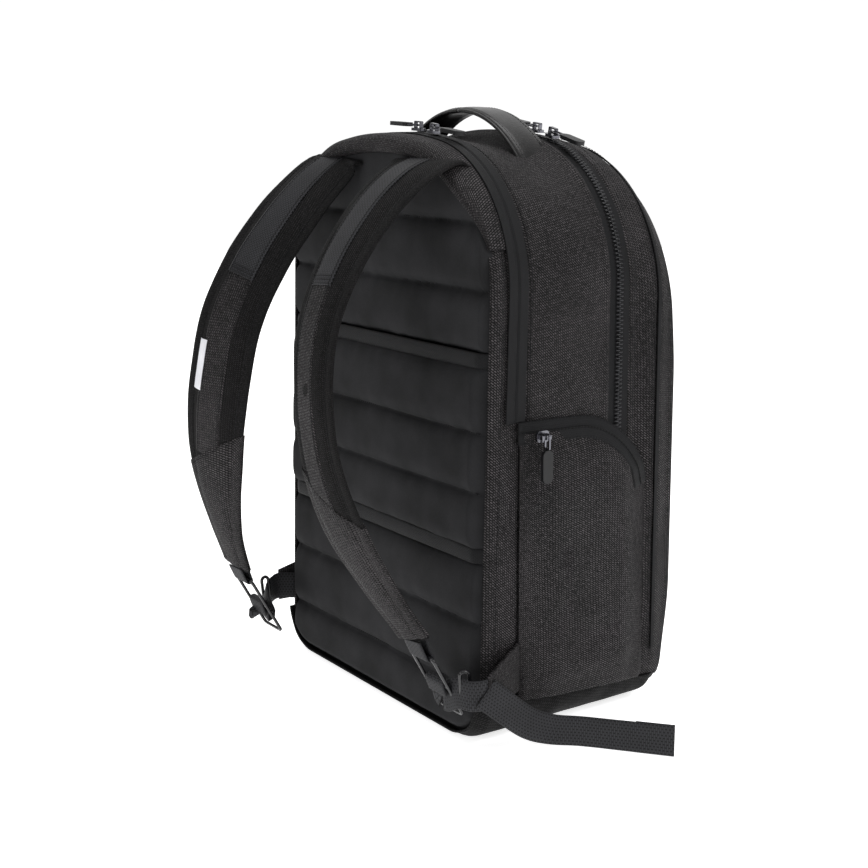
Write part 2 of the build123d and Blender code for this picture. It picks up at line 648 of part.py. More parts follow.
for side, sign in SIDES:
    along = Vector(sign * WING_DIR.X, WING_DIR.Y, 0)
    across = along.cross(Vector(0, 0, 1))
    with BuildPart() as wing:
        with BuildSketch(Plane(origin=(sign * WING_START[0], WING_START[1], 0), x_dir=along, z_dir=across)):
            with BuildLine():
                Polyline(
                    (0, WING_BOTTOM),
                    (0, WING_TOP),
                    (WING_L, WEB_Z + WEBBING_W / 2),
                    (WING_L, WEB_Z - WEBBING_W / 2),
                    close=True,
                )
            make_face()
        extrude(amount=WING_T / 2, both=True)
    save(wing, f"{side}_anchor_wing")

    root = Vector(sign * (WING_TIP[0] - 1.2), WING_TIP[1] + WEBBING_T / 2 + WING_T / 6 + GAP, WEB_Z)
    tip = Vector(sign * (STRAP_END_X + 2), STRAP_ROUTES[side][-1][0] - ANCHOR_END_IN, WEB_Z)
    run = tip - root
    face = run.cross(Vector(0, 0, 1))
    with BuildPart() as anchor:
        with BuildSketch(Plane(origin=(root + tip) * 0.5, x_dir=run, z_dir=face)):
            Rectangle(run.length, WEBBING_W)
        extrude(amount=WEBBING_T / 2, both=True)
    save(anchor, f"{side}_anchor_webbing")

    with BuildPart() as keeper:
        with BuildSketch(Plane(origin=root + run * KEEPER_AT, x_dir=(0, 0, 1), z_dir=run)):
            RectangleRounded(KEEPER_L, KEEPER_D, KEEPER_D * 0.45)
            RectangleRounded(
                KEEPER_L - 2 * WIRE_R, KEEPER_D - 2 * WIRE_R, KEEPER_D * 0.45 - WIRE_R, mode=Mode.SUBTRACT
            )
        extrude(amount=WIRE_R, both=True)
    save(keeper, f"{side}_keeper_ring")

# The left webbing's free tail runs down from the anchor and stands on its edge on the floor.
TAIL_TOP_Y = BACK_Y + 10
TAIL_LAND_Y = BACK_Y - 37  # where it meets the floor
TAIL_RISE = 7.0  # its upper end, above the anchor webbing
TAIL_ROUTE = (
    (-HALF_W - 17.6, BACK_Y + 3.5),
    (-HALF_W - 19.5, TAIL_LAND_Y),
    (-HALF_W - 38, BACK_Y - 71),
    (-HALF_W - 63, BACK_Y - 93),
    (-HALF_W - 96, BACK_Y - 120),
)
with BuildPart() as tail:
    with BuildSketch(Plane.XY):
        with BuildLine():
            Spline(*TAIL_ROUTE)
        trace(line_width=WEBBING_T)
    extrude(amount=WING_TOP)
    with BuildSketch(side_plane(0)):
        with BuildLine():
            Polyline(
                (TAIL_TOP_Y, WEB_Z + TAIL_RISE + WEBBING_W / 2),
                (TAIL_TOP_Y, WEB_Z + TAIL_RISE - WEBBING_W / 2),
                (TAIL_LAND_Y, 0),
                (FRONT_Y, 0),
                (FRONT_Y, WEBBING_W),
                (TAIL_LAND_Y - 8, WEBBING_W),
                close=True,
            )
        make_face()
    extrude(amount=-2 * BODY_WIDTH, mode=Mode.INTERSECT)
save(tail, "left_webbing_tail")
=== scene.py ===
"""School backpack: builds the soft shell, pads, straps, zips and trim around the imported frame."""

from math import atan2, cos, exp, pi, radians, sin, sqrt

import bpy
import numpy as np
from mathutils import Matrix, Vector, noise


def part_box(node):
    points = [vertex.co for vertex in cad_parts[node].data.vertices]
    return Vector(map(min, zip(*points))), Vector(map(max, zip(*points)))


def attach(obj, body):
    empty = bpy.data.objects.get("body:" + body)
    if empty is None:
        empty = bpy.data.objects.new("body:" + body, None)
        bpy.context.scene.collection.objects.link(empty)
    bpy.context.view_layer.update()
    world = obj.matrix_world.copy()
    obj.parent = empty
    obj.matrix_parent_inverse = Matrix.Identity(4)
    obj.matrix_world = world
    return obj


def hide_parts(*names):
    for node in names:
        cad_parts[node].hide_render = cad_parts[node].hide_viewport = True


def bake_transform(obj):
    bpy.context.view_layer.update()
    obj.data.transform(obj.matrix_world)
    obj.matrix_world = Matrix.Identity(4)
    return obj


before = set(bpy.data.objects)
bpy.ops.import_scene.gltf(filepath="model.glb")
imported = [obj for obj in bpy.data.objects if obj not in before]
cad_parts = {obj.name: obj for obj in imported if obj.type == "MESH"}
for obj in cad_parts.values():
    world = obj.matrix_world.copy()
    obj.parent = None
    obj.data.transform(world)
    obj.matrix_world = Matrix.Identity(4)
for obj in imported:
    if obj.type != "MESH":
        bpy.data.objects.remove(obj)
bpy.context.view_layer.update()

bl_info = {
    "name": "School backpack",
    "version": (1, 0, 0),
    "blender": (4, 5, 0),
    "location": "View3D > Sidebar > Backpack",
    "description": "Builds a quilted school backpack around its packed frame",
    "category": "Object",
}

MM = 0.001

# ---------------------------------------------------------------- places read from the frame
SHELL_LOW, SHELL_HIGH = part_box("body_gusset")
PANEL_LOW, PANEL_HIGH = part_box("front_panel")
SLEEVE_LOW, SLEEVE_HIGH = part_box("luggage_sleeve_pad")
POCKET_LOW, POCKET_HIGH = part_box("left_side_pocket")
FRONT_LOW, FRONT_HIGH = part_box("front_pocket")
STRAP_LOW, STRAP_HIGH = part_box("left_strap_pad")
GRIP_LOW, GRIP_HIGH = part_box("handle_grip")
ENDS_LOW, ENDS_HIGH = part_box("handle_end_tabs")

HALF_W = SHELL_HIGH.x
HEIGHT = SHELL_HIGH.z
FRONT_Y = PANEL_LOW.y
BACK_Y = -FRONT_Y
BACK_LEAN = radians(1.8)
CROWN_R = 320 * MM
SHOULDER_R = 115 * MM
BOTTOM_R = 40 * MM
SHOULDER_X = HALF_W - SHOULDER_R
CROWN_Z = HEIGHT - CROWN_R
SHOULDER_Z = CROWN_Z + sqrt((CROWN_R - SHOULDER_R) ** 2 - SHOULDER_X**2)
FRONT_DROP = HEIGHT - PANEL_HIGH.z
MAIN_ZIP_Y = -43 * MM
LAPTOP_ZIP_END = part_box("laptop_zip_tape")[0].z
SLEEVE_Z = (151 * MM, 316 * MM)


# ---------------------------------------------------------------- small helpers
def linear(hex_colour):
    """An sRGB hex colour as a linear RGBA value."""
    parts = [int(hex_colour[i : i + 2], 16) / 255 for i in (1, 3, 5)]
    return tuple(c / 12.92 if c <= 0.04045 else ((c + 0.055) / 1.055) ** 2.4 for c in parts) + (1.0,)


def smooth(x, low, high):
    """0 below low, 1 above high and a smooth step between them."""
    t = min(max((x - low) / (high - low), 0.0), 1.0)
    return t * t * (3 - 2 * t)


def deselect():
    """Nothing stays selected, so that the next operator acts on its own piece alone."""
    if bpy.context.object and bpy.context.object.mode != "OBJECT":
        bpy.ops.object.mode_set(mode="OBJECT")
    bpy.ops.object.select_all(action="DESELECT")


def finish_piece(obj, body, material, replaces=()):
    """Smooths a finished piece, gives it its material and hangs it on its body; a piece given a pair of
    bodies is baked in place and hung on none.
    """
    for polygon in obj.data.polygons:
        polygon.use_smooth = True
    obj.data.materials.clear()
    obj.data.materials.append(material)
    if isinstance(body, str):
        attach(obj, body)
    else:
        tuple(body[2])
        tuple(body[3])
        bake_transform(obj)
    if replaces:
        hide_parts(*replaces)
    return obj


def apply_modifier(obj, kind, **settings):
    """Adds a modifier with its settings and applies it."""
    deselect()
    obj.select_set(True)
    bpy.context.view_layer.objects.active = obj
    modifier = obj.modifiers.new(kind.title(), kind)
    for key, value in settings.items():
        setattr(modifier, key, value)
    bpy.ops.object.modifier_apply(modifier=modifier.name)


def sheet_piece(name, rows, columns, place, size, wrap=False, thickness=0.0, flip=False):
    """A grid primitive whose points are placed by place(u, v).

    Its UV map is in metres, and size is its length across and along.

    u runs 0 to 1 across the columns and v runs 0 to 1 up the rows. wrap closes it across u.
    """
    deselect()
    bpy.ops.mesh.primitive_grid_add(x_subdivisions=columns, y_subdivisions=rows, size=2, calc_uvs=True)
    obj = bpy.context.object
    obj.name = name
    obj.data.name = name
    mesh = obj.data
    for vertex in mesh.vertices:
        u = (vertex.co.x + 1) / 2
        v = (vertex.co.y + 1) / 2
        vertex.co = place(min(max(u, 0), 1), min(max(v, 0), 1))
    for loop in mesh.uv_layers.active.data:
        loop.uv = (loop.uv[0] * size[0], loop.uv[1] * size[1])
    if wrap:
        bpy.ops.object.mode_set(mode="EDIT")
        bpy.ops.mesh.select_all(action="SELECT")
        bpy.ops.mesh.remove_doubles(threshold=1e-5)
        bpy.ops.object.mode_set(mode="OBJECT")
    if flip:
        bpy.ops.object.mode_set(mode="EDIT")
        bpy.ops.mesh.select_all(action="SELECT")
        bpy.ops.mesh.flip_normals()
        bpy.ops.object.mode_set(mode="OBJECT")
    if thickness:
        apply_modifier(obj, "SOLIDIFY", thickness=thickness, offset=-1.0)
    return obj


def sample_route(points, count):
    """Evenly spaced points along a smooth curve through the given points."""
    knots = [Vector(p) for p in points]
    dense = []
    for i in range(len(knots) - 1):
        p0 = knots[i - 1] if i else knots[0] * 2 - knots[1]
        p1, p2 = knots[i], knots[i + 1]
        p3 = knots[i + 2] if i + 2 < len(knots) else knots[-1] * 2 - knots[-2]
        for k in range(40):
            t = k / 40
            dense.append(
                0.5
                * (
                    2 * p1
                    + (p2 - p0) * t
                    + (2 * p0 - 5 * p1 + 4 * p2 - p3) * t * t
                    + (3 * p1 - p0 - 3 * p2 + p3) * t**3
                )
            )
    dense.append(knots[-1])
    lengths = [0.0]
    for a, b in zip(dense, dense[1:]):
        lengths.append(lengths[-1] + (b - a).length)
    result = []
    j = 0
    for i in range(count):
        target = lengths[-1] * i / (count - 1)
        while j < len(lengths) - 2 and lengths[j + 1] < target:
            j += 1
        gap = max(lengths[j + 1] - lengths[j], 1e-9)
        result.append(dense[j].lerp(dense[j + 1], min(max((target - lengths[j]) / gap, 0), 1)))
    return result, lengths[-1]


class Ribbon:
    """A curved route with a direction across it at each point, as webbing, piping and straps have."""

    def __init__(self, points, across, count=120):
        self.points, self.length = sample_route(points, count)
        self.count = count
        sides = [Vector(a) for a in across]
        self.across = []
        for i in range(count):
            position = i / (count - 1) * (len(sides) - 1)
            k = min(int(position), len(sides) - 2)
            self.across.append(sides[k].lerp(sides[k + 1], position - k).normalized())

    def at(self, t, side=0.0, lift=0.0):
        """The point at share t of the length, side metres across and lift metres off the face."""
        position = min(max(t, 0.0), 1.0) * (self.count - 1)
        k = min(int(position), self.count - 2)
        part = position - k
        here = self.points[k].lerp(self.points[k + 1], part)
        if t < 0:
            here += (self.points[0] - self.points[1]).normalized() * (-t * self.length)
        if t > 1:
            here += (self.points[-1] - self.points[-2]).normalized() * ((t - 1) * self.length)
        low = max(k - 1, 0)
        high = min(k + 2, self.count - 1)
        along = (self.points[high] - self.points[low]).normalized()
        across = self.across[k].lerp(self.across[k + 1], part)
        across = (across - along * across.dot(along)).normalized()
        return here + across * side + across.cross(along) * lift


def band(name, ribbon, width, thickness, start=0.0, end=1.0, lift=0.0, side=0.0, step=1.2 * MM, crown=0.0):
    """A flat closed band along a ribbon, with rounded edges: webbing, binding or tape."""
    half = width / 2
    edge = min(thickness * 0.45, half * 0.4)
    ring = [(-half, edge), (-half + edge, 0)]
    flats = 6
    for i in range(1, flats):
        ring.append((-half + edge + (width - 2 * edge) * i / flats, 0))
    ring += [(half - edge, 0), (half, edge), (half, thickness - edge), (half - edge, thickness)]
    for i in range(flats - 1, 0, -1):
        ring.append((-half + edge + (width - 2 * edge) * i / flats, thickness))
    ring += [(-half + edge, thickness), (-half, thickness - edge)]
    count = len(ring)
    rows = max(int(ribbon.length * (end - start) / (step * 3)), 6)

    def place(u, v):
        x, z = ring[int(round(u * count)) % count]
        bow = crown * (1 - (x / half) ** 2)
        return ribbon.at(start + (end - start) * v, side + x, lift + z + bow)

    size = (2 * (width + thickness), ribbon.length * (end - start))
    obj = sheet_piece(name, rows, count, place, size, wrap=True)
    close_ends(obj)
    return obj


def close_ends(obj):
    """Caps the open ends of a tube-like mesh and points its faces outwards."""
    deselect()
    obj.select_set(True)
    bpy.context.view_layer.objects.active = obj
    bpy.ops.object.mode_set(mode="EDIT")
    bpy.ops.mesh.select_all(action="DESELECT")
    bpy.ops.mesh.select_mode(type="EDGE")
    bpy.ops.mesh.select_non_manifold()
    bpy.ops.mesh.fill_holes(sides=0)
    bpy.ops.mesh.select_all(action="SELECT")
    bpy.ops.mesh.normals_make_consistent(inside=False)
    bpy.ops.mesh.select_mode(type="VERT")
    bpy.ops.object.mode_set(mode="OBJECT")


# ---------------------------------------------------------------- the pack's arched outline
LEAN = atan2(SHOULDER_Z - CROWN_Z, SHOULDER_X)
FOOT = HALF_W - BOTTOM_R
SEGMENTS = (
    ("line", (0, 0), (-FOOT, 0)),
    ("arc", (-FOOT, BOTTOM_R), BOTTOM_R, -pi / 2, -pi),
    ("line", (-HALF_W, BOTTOM_R), (-HALF_W, SHOULDER_Z)),
    ("arc", (-SHOULDER_X, SHOULDER_Z), SHOULDER_R, pi, pi - LEAN),
    ("arc", (0, CROWN_Z), CROWN_R, pi - LEAN, pi / 2),
)


def segment_length(segment):
    if segment[0] == "line":
        return (Vector(segment[2]) - Vector(segment[1])).length
    return abs(segment[4] - segment[3]) * segment[2]


HALF_LENGTH = sum(segment_length(s) for s in SEGMENTS)


def outline_at(distance):
    """Point and outward direction on the outline, distance from the middle of the base, up the left side."""
    mirror = distance > HALF_LENGTH
    left = 2 * HALF_LENGTH - distance if mirror else distance
    for segment in SEGMENTS:
        length = segment_length(segment)
        if left <= length or segment is SEGMENTS[-1]:
            t = min(left / length, 1.0)
            if segment[0] == "line":
                a, b = Vector(segment[1]), Vector(segment[2])
                point = a.lerp(b, t)
                run = b - a
                normal = Vector((run.y, -run.x)).normalized() * -1
                normal = Vector((0, -1)) if abs(run.x) > abs(run.y) else Vector((-1, 0))
            else:
                angle = segment[3] + (segment[4] - segment[3]) * t
                normal = Vector((cos(angle), sin(angle)))
                point = Vector(segment[1]) + normal * segment[2]
            break
        left -= length
    if mirror:
        point = Vector((-point.x, point.y))
        normal = Vector((-normal.x, normal.y))
    return point, normal


def distance_at_height(z):
    """Distance along the outline from the middle of the base to height z on the upright left side."""
    return FOOT + BOTTOM_R * pi / 2 + (z - BOTTOM_R)


def crown_sag(z, y):
    """The crown hangs a little between its two zips, which stay at their full height."""
    share = smooth(z, 0.415, 0.468)
    between = min(max((back_y(z, SEAM_IN) - y) / (back_y(z, SEAM_IN) - MAIN_ZIP_Y - 10 * MM), 0.0), 1.0)
    return share * 9.5 * MM * sin(pi * between) ** 1.4


def shell_point(distance, y, out=0.0, drop=0.0):
    """A point on the shell at depth y; out is outwards, drop lowers the arch as it nears the front."""
    point, normal = outline_at(distance)
    x = point.x + normal.x * out
    z = point.y + normal.y * out
    share = smooth(z, 0.20, SHOULDER_Z)
    return Vector((x, y, z - drop * share - crown_sag(point.y, y)))


def back_y(z, depth=0.0):
    """Depth coordinate of the leaning back at height z, depth metres in from its face."""
    return BACK_Y - z * sin(BACK_LEAN) / cos(BACK_LEAN) - depth


def drop_at(y):
    """How far the arch has dropped at depth y, from the main zip forwards."""
    return FRONT_DROP * smooth(-y, 0.050, 0.112) * 1.0


# ---------------------------------------------------------------- materials
MATERIALS = {}


def node(tree, kind, settings=None, **inputs):
    """Adds one shader node; inputs are values or (node, output) pairs."""
    made = tree.nodes.new(kind)
    for key, value in (settings or {}).items():
        setattr(made, key, value)
    for key, value in inputs.items():
        name = key.replace("_", " ")
        socket = made.inputs[int(key[1:])] if key[0] == "i" and key[1:].isdigit() else made.inputs[name]
        if isinstance(value, tuple) and value and isinstance(value[0], bpy.types.Node):
            tree.links.new(value[0].outputs[value[1]], socket)
        else:
            socket.default_value = value
    return made


def new_material(name, roughness, metallic=0.0, sheen=0.0, coat=0.0):
    material = bpy.data.materials.new(name)
    material.use_nodes = True
    tree = material.node_tree
    shader = tree.nodes["Principled BSDF"]
    shader.inputs["Roughness"].default_value = roughness
    shader.inputs["Metallic"].default_value = metallic
    shader.inputs["Sheen Weight"].default_value = sheen
    shader.inputs["Sheen Roughness"].default_value = 0.45
    shader.inputs["Coat Weight"].default_value = coat
    shader.inputs["Coat Roughness"].default_value = 0.18
    if not metallic:
        shader.inputs["Specular IOR Level"].default_value = 0.2 if roughness > 0.55 else 0.35
    MATERIALS[name] = material
    return material, tree, shader


def woven(name, dark, light, thread, roughness, sheen, bump, twill=True, blotch=0.35):
    """Woven cloth on the UV map, in metres: diagonal twill floats or a plain basket weave.

    thread is the spacing between floats. The eye sees small lit floats over dark gaps.
    """
    material, tree, shader = new_material(name, roughness, sheen=sheen)
    uv = node(tree, "ShaderNodeUVMap")
    turn = node(
        tree,
        "ShaderNodeMapping",
        Vector=(uv, "UV"),
        Rotation=(0, 0, radians(40 if twill else 0)),
        Scale=(1 / thread, 1 / thread, 1),
    )
    weave = node(
        tree,
        "ShaderNodeTexBrick",
        {"offset": 0.5, "squash": 1.0},
        Vector=(turn, "Vector"),
        Color1=(1, 1, 1, 1),
        Color2=(0.72, 0.72, 0.72, 1),
        Mortar=(0, 0, 0, 1),
        Scale=1.0,
        Mortar_Size=0.2,
        Mortar_Smooth=0.5,
        Brick_Width=1.3 if twill else 1.0,
        Row_Height=0.75 if twill else 0.5,
    )
    place = node(tree, "ShaderNodeTexCoord")
    cloud = node(tree, "ShaderNodeTexNoise", Vector=(place, "Object"), Scale=14.0, Detail=4.0, Roughness=0.6)
    fuzz = node(tree, "ShaderNodeTexNoise", Vector=(place, "Object"), Scale=900.0, Detail=2.0)
    lit = node(tree, "ShaderNodeMath", {"operation": "MULTIPLY"}, i0=(weave, "Color"), i1=(fuzz, "Fac"))
    tone = node(
        tree, "ShaderNodeMath", {"operation": "MULTIPLY_ADD"}, i0=(cloud, "Fac"), i1=blotch, i2=(lit, 0)
    )
    colour = node(tree, "ShaderNodeValToRGB", Fac=(tone, 0))
    colour.color_ramp.elements[0].position = 0.4
    colour.color_ramp.elements[0].color = linear(dark)
    colour.color_ramp.elements[1].position = 0.84
    colour.color_ramp.elements[1].color = linear(light)
    gloss = node(tree, "ShaderNodeMapRange", Value=(lit, 0), To_Min=roughness + 0.2, To_Max=roughness - 0.12)
    tree.links.new(gloss.outputs[0], shader.inputs["Roughness"])
    tree.links.new(colour.outputs[0], shader.inputs["Base Color"])
    height = node(tree, "ShaderNodeBump", Strength=bump, Distance=0.0005, Height=(weave, "Color"))
    tree.links.new(height.outputs[0], shader.inputs["Normal"])
    return material


def knitted(name, dark, light, roughness, sheen):
    """Brushed knit over foam: almost no weave shows, only soft mottling and a fine nap."""
    material, tree, shader = new_material(name, roughness, sheen=sheen)
    place = node(tree, "ShaderNodeTexCoord")
    cloud = node(tree, "ShaderNodeTexNoise", Vector=(place, "Object"), Scale=22.0, Detail=5.0)
    nap = node(tree, "ShaderNodeTexNoise", Vector=(place, "Object"), Scale=1400.0, Detail=2.0)
    tone = node(
        tree, "ShaderNodeMath", {"operation": "MULTIPLY_ADD"}, i0=(nap, "Fac"), i1=0.4, i2=(cloud, "Fac")
    )
    colour = node(tree, "ShaderNodeValToRGB", Fac=(tone, 0))
    colour.color_ramp.elements[0].position = 0.45
    colour.color_ramp.elements[0].color = linear(dark)
    colour.color_ramp.elements[1].position = 0.95
    colour.color_ramp.elements[1].color = linear(light)
    tree.links.new(colour.outputs[0], shader.inputs["Base Color"])
    height = node(tree, "ShaderNodeBump", Strength=0.25, Distance=0.0004, Height=(nap, "Fac"))
    tree.links.new(height.outputs[0], shader.inputs["Normal"])
    return material


def ribbed(name, dark, light, rib, roughness, sheen, along=True):
    """Webbing or tape: raised weft ribs across the band, broken by warp threads."""
    material, tree, shader = new_material(name, roughness, sheen=sheen)
    uv = node(tree, "ShaderNodeUVMap")
    scale = (0.4 / rib, 1 / rib, 1) if along else (1 / rib, 0.4 / rib, 1)
    mapped = node(tree, "ShaderNodeMapping", Vector=(uv, "UV"), Scale=scale)
    weave = node(
        tree,
        "ShaderNodeTexBrick",
        {"offset": 0.5},
        Vector=(mapped, "Vector"),
        Color1=(1, 1, 1, 1),
        Color2=(0.8, 0.8, 0.8, 1),
        Mortar=(0, 0, 0, 1),
        Scale=1.0,
        Mortar_Size=0.16,
        Mortar_Smooth=1.0,
        Brick_Width=1.0,
        Row_Height=1.0,
    )
    place = node(tree, "ShaderNodeTexCoord")
    cloud = node(tree, "ShaderNodeTexNoise", Vector=(place, "Object"), Scale=40.0, Detail=3.0)
    tone = node(
        tree, "ShaderNodeMath", {"operation": "MULTIPLY_ADD"}, i0=(cloud, "Fac"), i1=0.4, i2=(weave, "Fac")
    )
    colour = node(tree, "ShaderNodeValToRGB", Fac=(tone, 0))
    colour.color_ramp.elements[0].position = 0.1
    colour.color_ramp.elements[0].color = linear(light)
    colour.color_ramp.elements[1].position = 0.9
    colour.color_ramp.elements[1].color = linear(dark)
    tree.links.new(colour.outputs[0], shader.inputs["Base Color"])
    height = node(tree, "ShaderNodeBump", Strength=0.55, Distance=0.0006, Height=(weave, "Color"))
    tree.links.new(height.outputs[0], shader.inputs["Normal"])
    return material


def smooth_finish(
    name, dark, light, roughness, metallic=0.0, coat=0.0, grain=300.0, bump=0.1, distance=0.0002
):
    """Moulded, plated, painted or grained finish: slight tone changes and a fine surface grain."""
    material, tree, shader = new_material(name, roughness, metallic=metallic, coat=coat)
    place = node(tree, "ShaderNodeTexCoord")
    cloud = node(tree, "ShaderNodeTexNoise", Vector=(place, "Object"), Scale=60.0, Detail=4.0)
    colour = node(tree, "ShaderNodeValToRGB", Fac=(cloud, "Fac"))
    colour.color_ramp.elements[0].position = 0.3
    colour.color_ramp.elements[0].color = linear(dark)
    colour.color_ramp.elements[1].position = 0.75
    colour.color_ramp.elements[1].color = linear(light)
    tree.links.new(colour.outputs[0], shader.inputs["Base Color"])
    wear = node(
        tree,
        "ShaderNodeMapRange",
        Value=(cloud, "Fac"),
        From_Min=0.3,
        From_Max=0.8,
        To_Min=max(roughness - 0.06, 0.05),
        To_Max=roughness + 0.1,
    )
    tree.links.new(wear.outputs[0], shader.inputs["Roughness"])
    fine = node(tree, "ShaderNodeTexVoronoi", Vector=(place, "Object"), Scale=grain)
    height = node(tree, "ShaderNodeBump", Strength=bump, Distance=distance, Height=(fine, "Distance"))
    tree.links.new(height.outputs[0], shader.inputs["Normal"])
    return material


def make_materials(look):
    """Every finish on the pack, each from what the real material is."""
    # Ballistic nylon, 1680 denier, plain woven: floats catch light as fine pale specks. Drawn 2.2 mm apart.
    woven("ballistic_nylon", look.shell_dark, look.shell_light, 2.2 * MM, 0.6, 0.0, 0.8)
    # The base cloth is the shell weave with darker floats: painted shade low on the pack.
    woven("ballistic_nylon_shaded_base", look.shell_dark, "#262526", 2.2 * MM, 0.7, 0.0, 0.6)
    # Brushed polyester knit, laminated to foam: soft, matt and even.
    knitted("spacer_knit", look.quilt_dark, look.quilt_light, 0.82, 0.0)
    woven("strap_cloth", look.shell_dark, "#2c2a2b", 1.6 * MM, 0.78, 0.0, 0.45)
    ribbed("polyester_webbing", "#0a0a0a", "#333336", 1.5 * MM, 0.62, 0.0)
    ribbed("grosgrain_binding", "#060607", "#19191b", 1.1 * MM, 0.62, 0.0)
    ribbed("zip_tape_cloth", "#070708", "#1a1a1c", 0.9 * MM, 0.66, 0.0)
    smooth_finish("nylon_coil", "#19191b", "#2b2b2e", 0.3, grain=500)
    # Full-grain cowhide, dyed black and rolled: low sheen over fine pores.
    smooth_finish(
        "rolled_leather", "#0a0909", "#181616", 0.4, coat=0.12, grain=700, bump=0.35, distance=0.0004
    )
    # Zinc die casting plated in black nickel, then tumbled.
    smooth_finish("black_nickel_plate", "#5c5c61", "#7c7c82", 0.24, metallic=1.0, grain=200, bump=0.03)
    smooth_finish("painted_wire", "#101012", "#1e1e21", 0.26, coat=0.5, grain=400, bump=0.04)
    smooth_finish("moulded_rubber", "#0a0a0b", "#161618", 0.45, grain=900, bump=0.1)
    smooth_finish("thread", "#0b0b0c", "#1d1d1f", 0.6, grain=900, bump=0.1)
    smooth_finish("woven_label", "#d7d8dc", "#ececf0", 0.6, grain=900, bump=0.2)
    smooth_finish("polythene_sheet", "#3a3a3a", "#4a4a4a", 0.5)
    knitted("lining_cloth", "#2a2a2d", "#3a3a3e", 0.8, 0.1)


# ---------------------------------------------------------------- settings
class BackpackLook(bpy.types.PropertyGroup):
    """Colours of the main cloths."""

    shell_dark: bpy.props.StringProperty(
        name="Shell shadow", description="Gaps in the shell weave", default="#030303"
    )
    shell_light: bpy.props.StringProperty(
        name="Shell float", description="Lit floats of the weave", default="#565254"
    )
    quilt_dark: bpy.props.StringProperty(
        name="Quilt shadow", description="Darker mottling of the quilt", default="#141415"
    )
    quilt_light: bpy.props.StringProperty(
        name="Quilt light", description="Paler nap of the quilt", default="#2a2a2c"
    )


class BackpackSizes(bpy.types.PropertyGroup):
    """Sizes of the soft goods."""

    quilt_rise: bpy.props.FloatProperty(
        name="Quilt rise", description="How far each quilted channel swells", default=7.5 * MM, unit="LENGTH"
    )
    strap_width: bpy.props.FloatProperty(
        name="Strap width", description="Padded strap at its middle", default=66 * MM, unit="LENGTH"
    )
    strap_thickness: bpy.props.FloatProperty(
        name="Strap thickness", description="Padded strap at its middle", default=12 * MM, unit="LENGTH"
    )


# ---------------------------------------------------------------- shell surfaces
def base_seam(y):
    """Height of the seam between the shell and the base, which falls a little towards the front."""
    return 30.2 * MM + 0.067 * y


def front_y(z):
    """Depth coordinate of the front edge at height z: it swells between the base and the arch."""
    return FRONT_Y - 1.5 * MM - 7.5 * MM * smooth(z, 0.02, 0.11) * (1 - smooth(z, 0.30, 0.43))


def distance_at(z):
    """Distance along the outline from the middle of the base to height z, corners included."""
    if z >= BOTTOM_R:
        return distance_at_height(z)
    share = min(max(1 - z / BOTTOM_R, -1.0), 1.0)
    return FOOT + BOTTOM_R * (pi / 2 - np.arcsin(share))


def ripple(point, size, seed=0.0):
    """Soft uneven swelling of cloth, -1 to 1, over about the given size."""
    return noise.noise(point / size + Vector((seed, seed * 1.7, -seed)))


def dent(value, middle, width):
    """A narrow bump of height 1 at middle, for seams and ridges."""
    return exp(-(((value - middle) / width) ** 2))


BROW_W = 16 * MM
ZIP_W = 20 * MM
SEAM_IN = BROW_W + ZIP_W  # seam between the laptop zip and the body gusset


def body_profile(y, z):
    """How far the body shell stands off the plain outline at depth y and height z."""
    depth = back_y(z) - y
    out = -4.0 * MM * dent(depth, 2.5 * MM, 4 * MM)
    out += 4.0 * MM * sin(pi * min(max((depth - SEAM_IN) / (back_y(z) - MAIN_ZIP_Y - SEAM_IN), 0), 1))
    out -= 1.6 * MM * dent(depth, SEAM_IN, 1.6 * MM)
    out -= 1.4 * MM * dent(depth, BROW_W, 1.5 * MM) * smooth(z, LAPTOP_ZIP_END - 0.02, LAPTOP_ZIP_END)
    edge = y - (MAIN_ZIP_Y + 10 * MM)
    out += 1.6 * MM * dent(edge, 3.5 * MM, 3 * MM)
    out -= 2.2 * MM * (1 - smooth(edge, -2 * MM, 1 * MM))
    return out


def front_profile(y):
    """How far the front shell stands off the plain outline, swelling to the front seam."""
    edge = (MAIN_ZIP_Y - 10 * MM) - y
    out = 1.4 * MM * dent(edge, 3.5 * MM, 3 * MM) - 2.2 * MM * (1 - smooth(edge, -2 * MM, 1 * MM))
    out += 5.5 * MM * smooth(edge, 3 * MM, 26 * MM) * (1 - 0.85 * smooth(-y, 0.083, 0.1))
    out -= 1.5 * MM * dent(y, -81 * MM, 1.4 * MM)
    return out


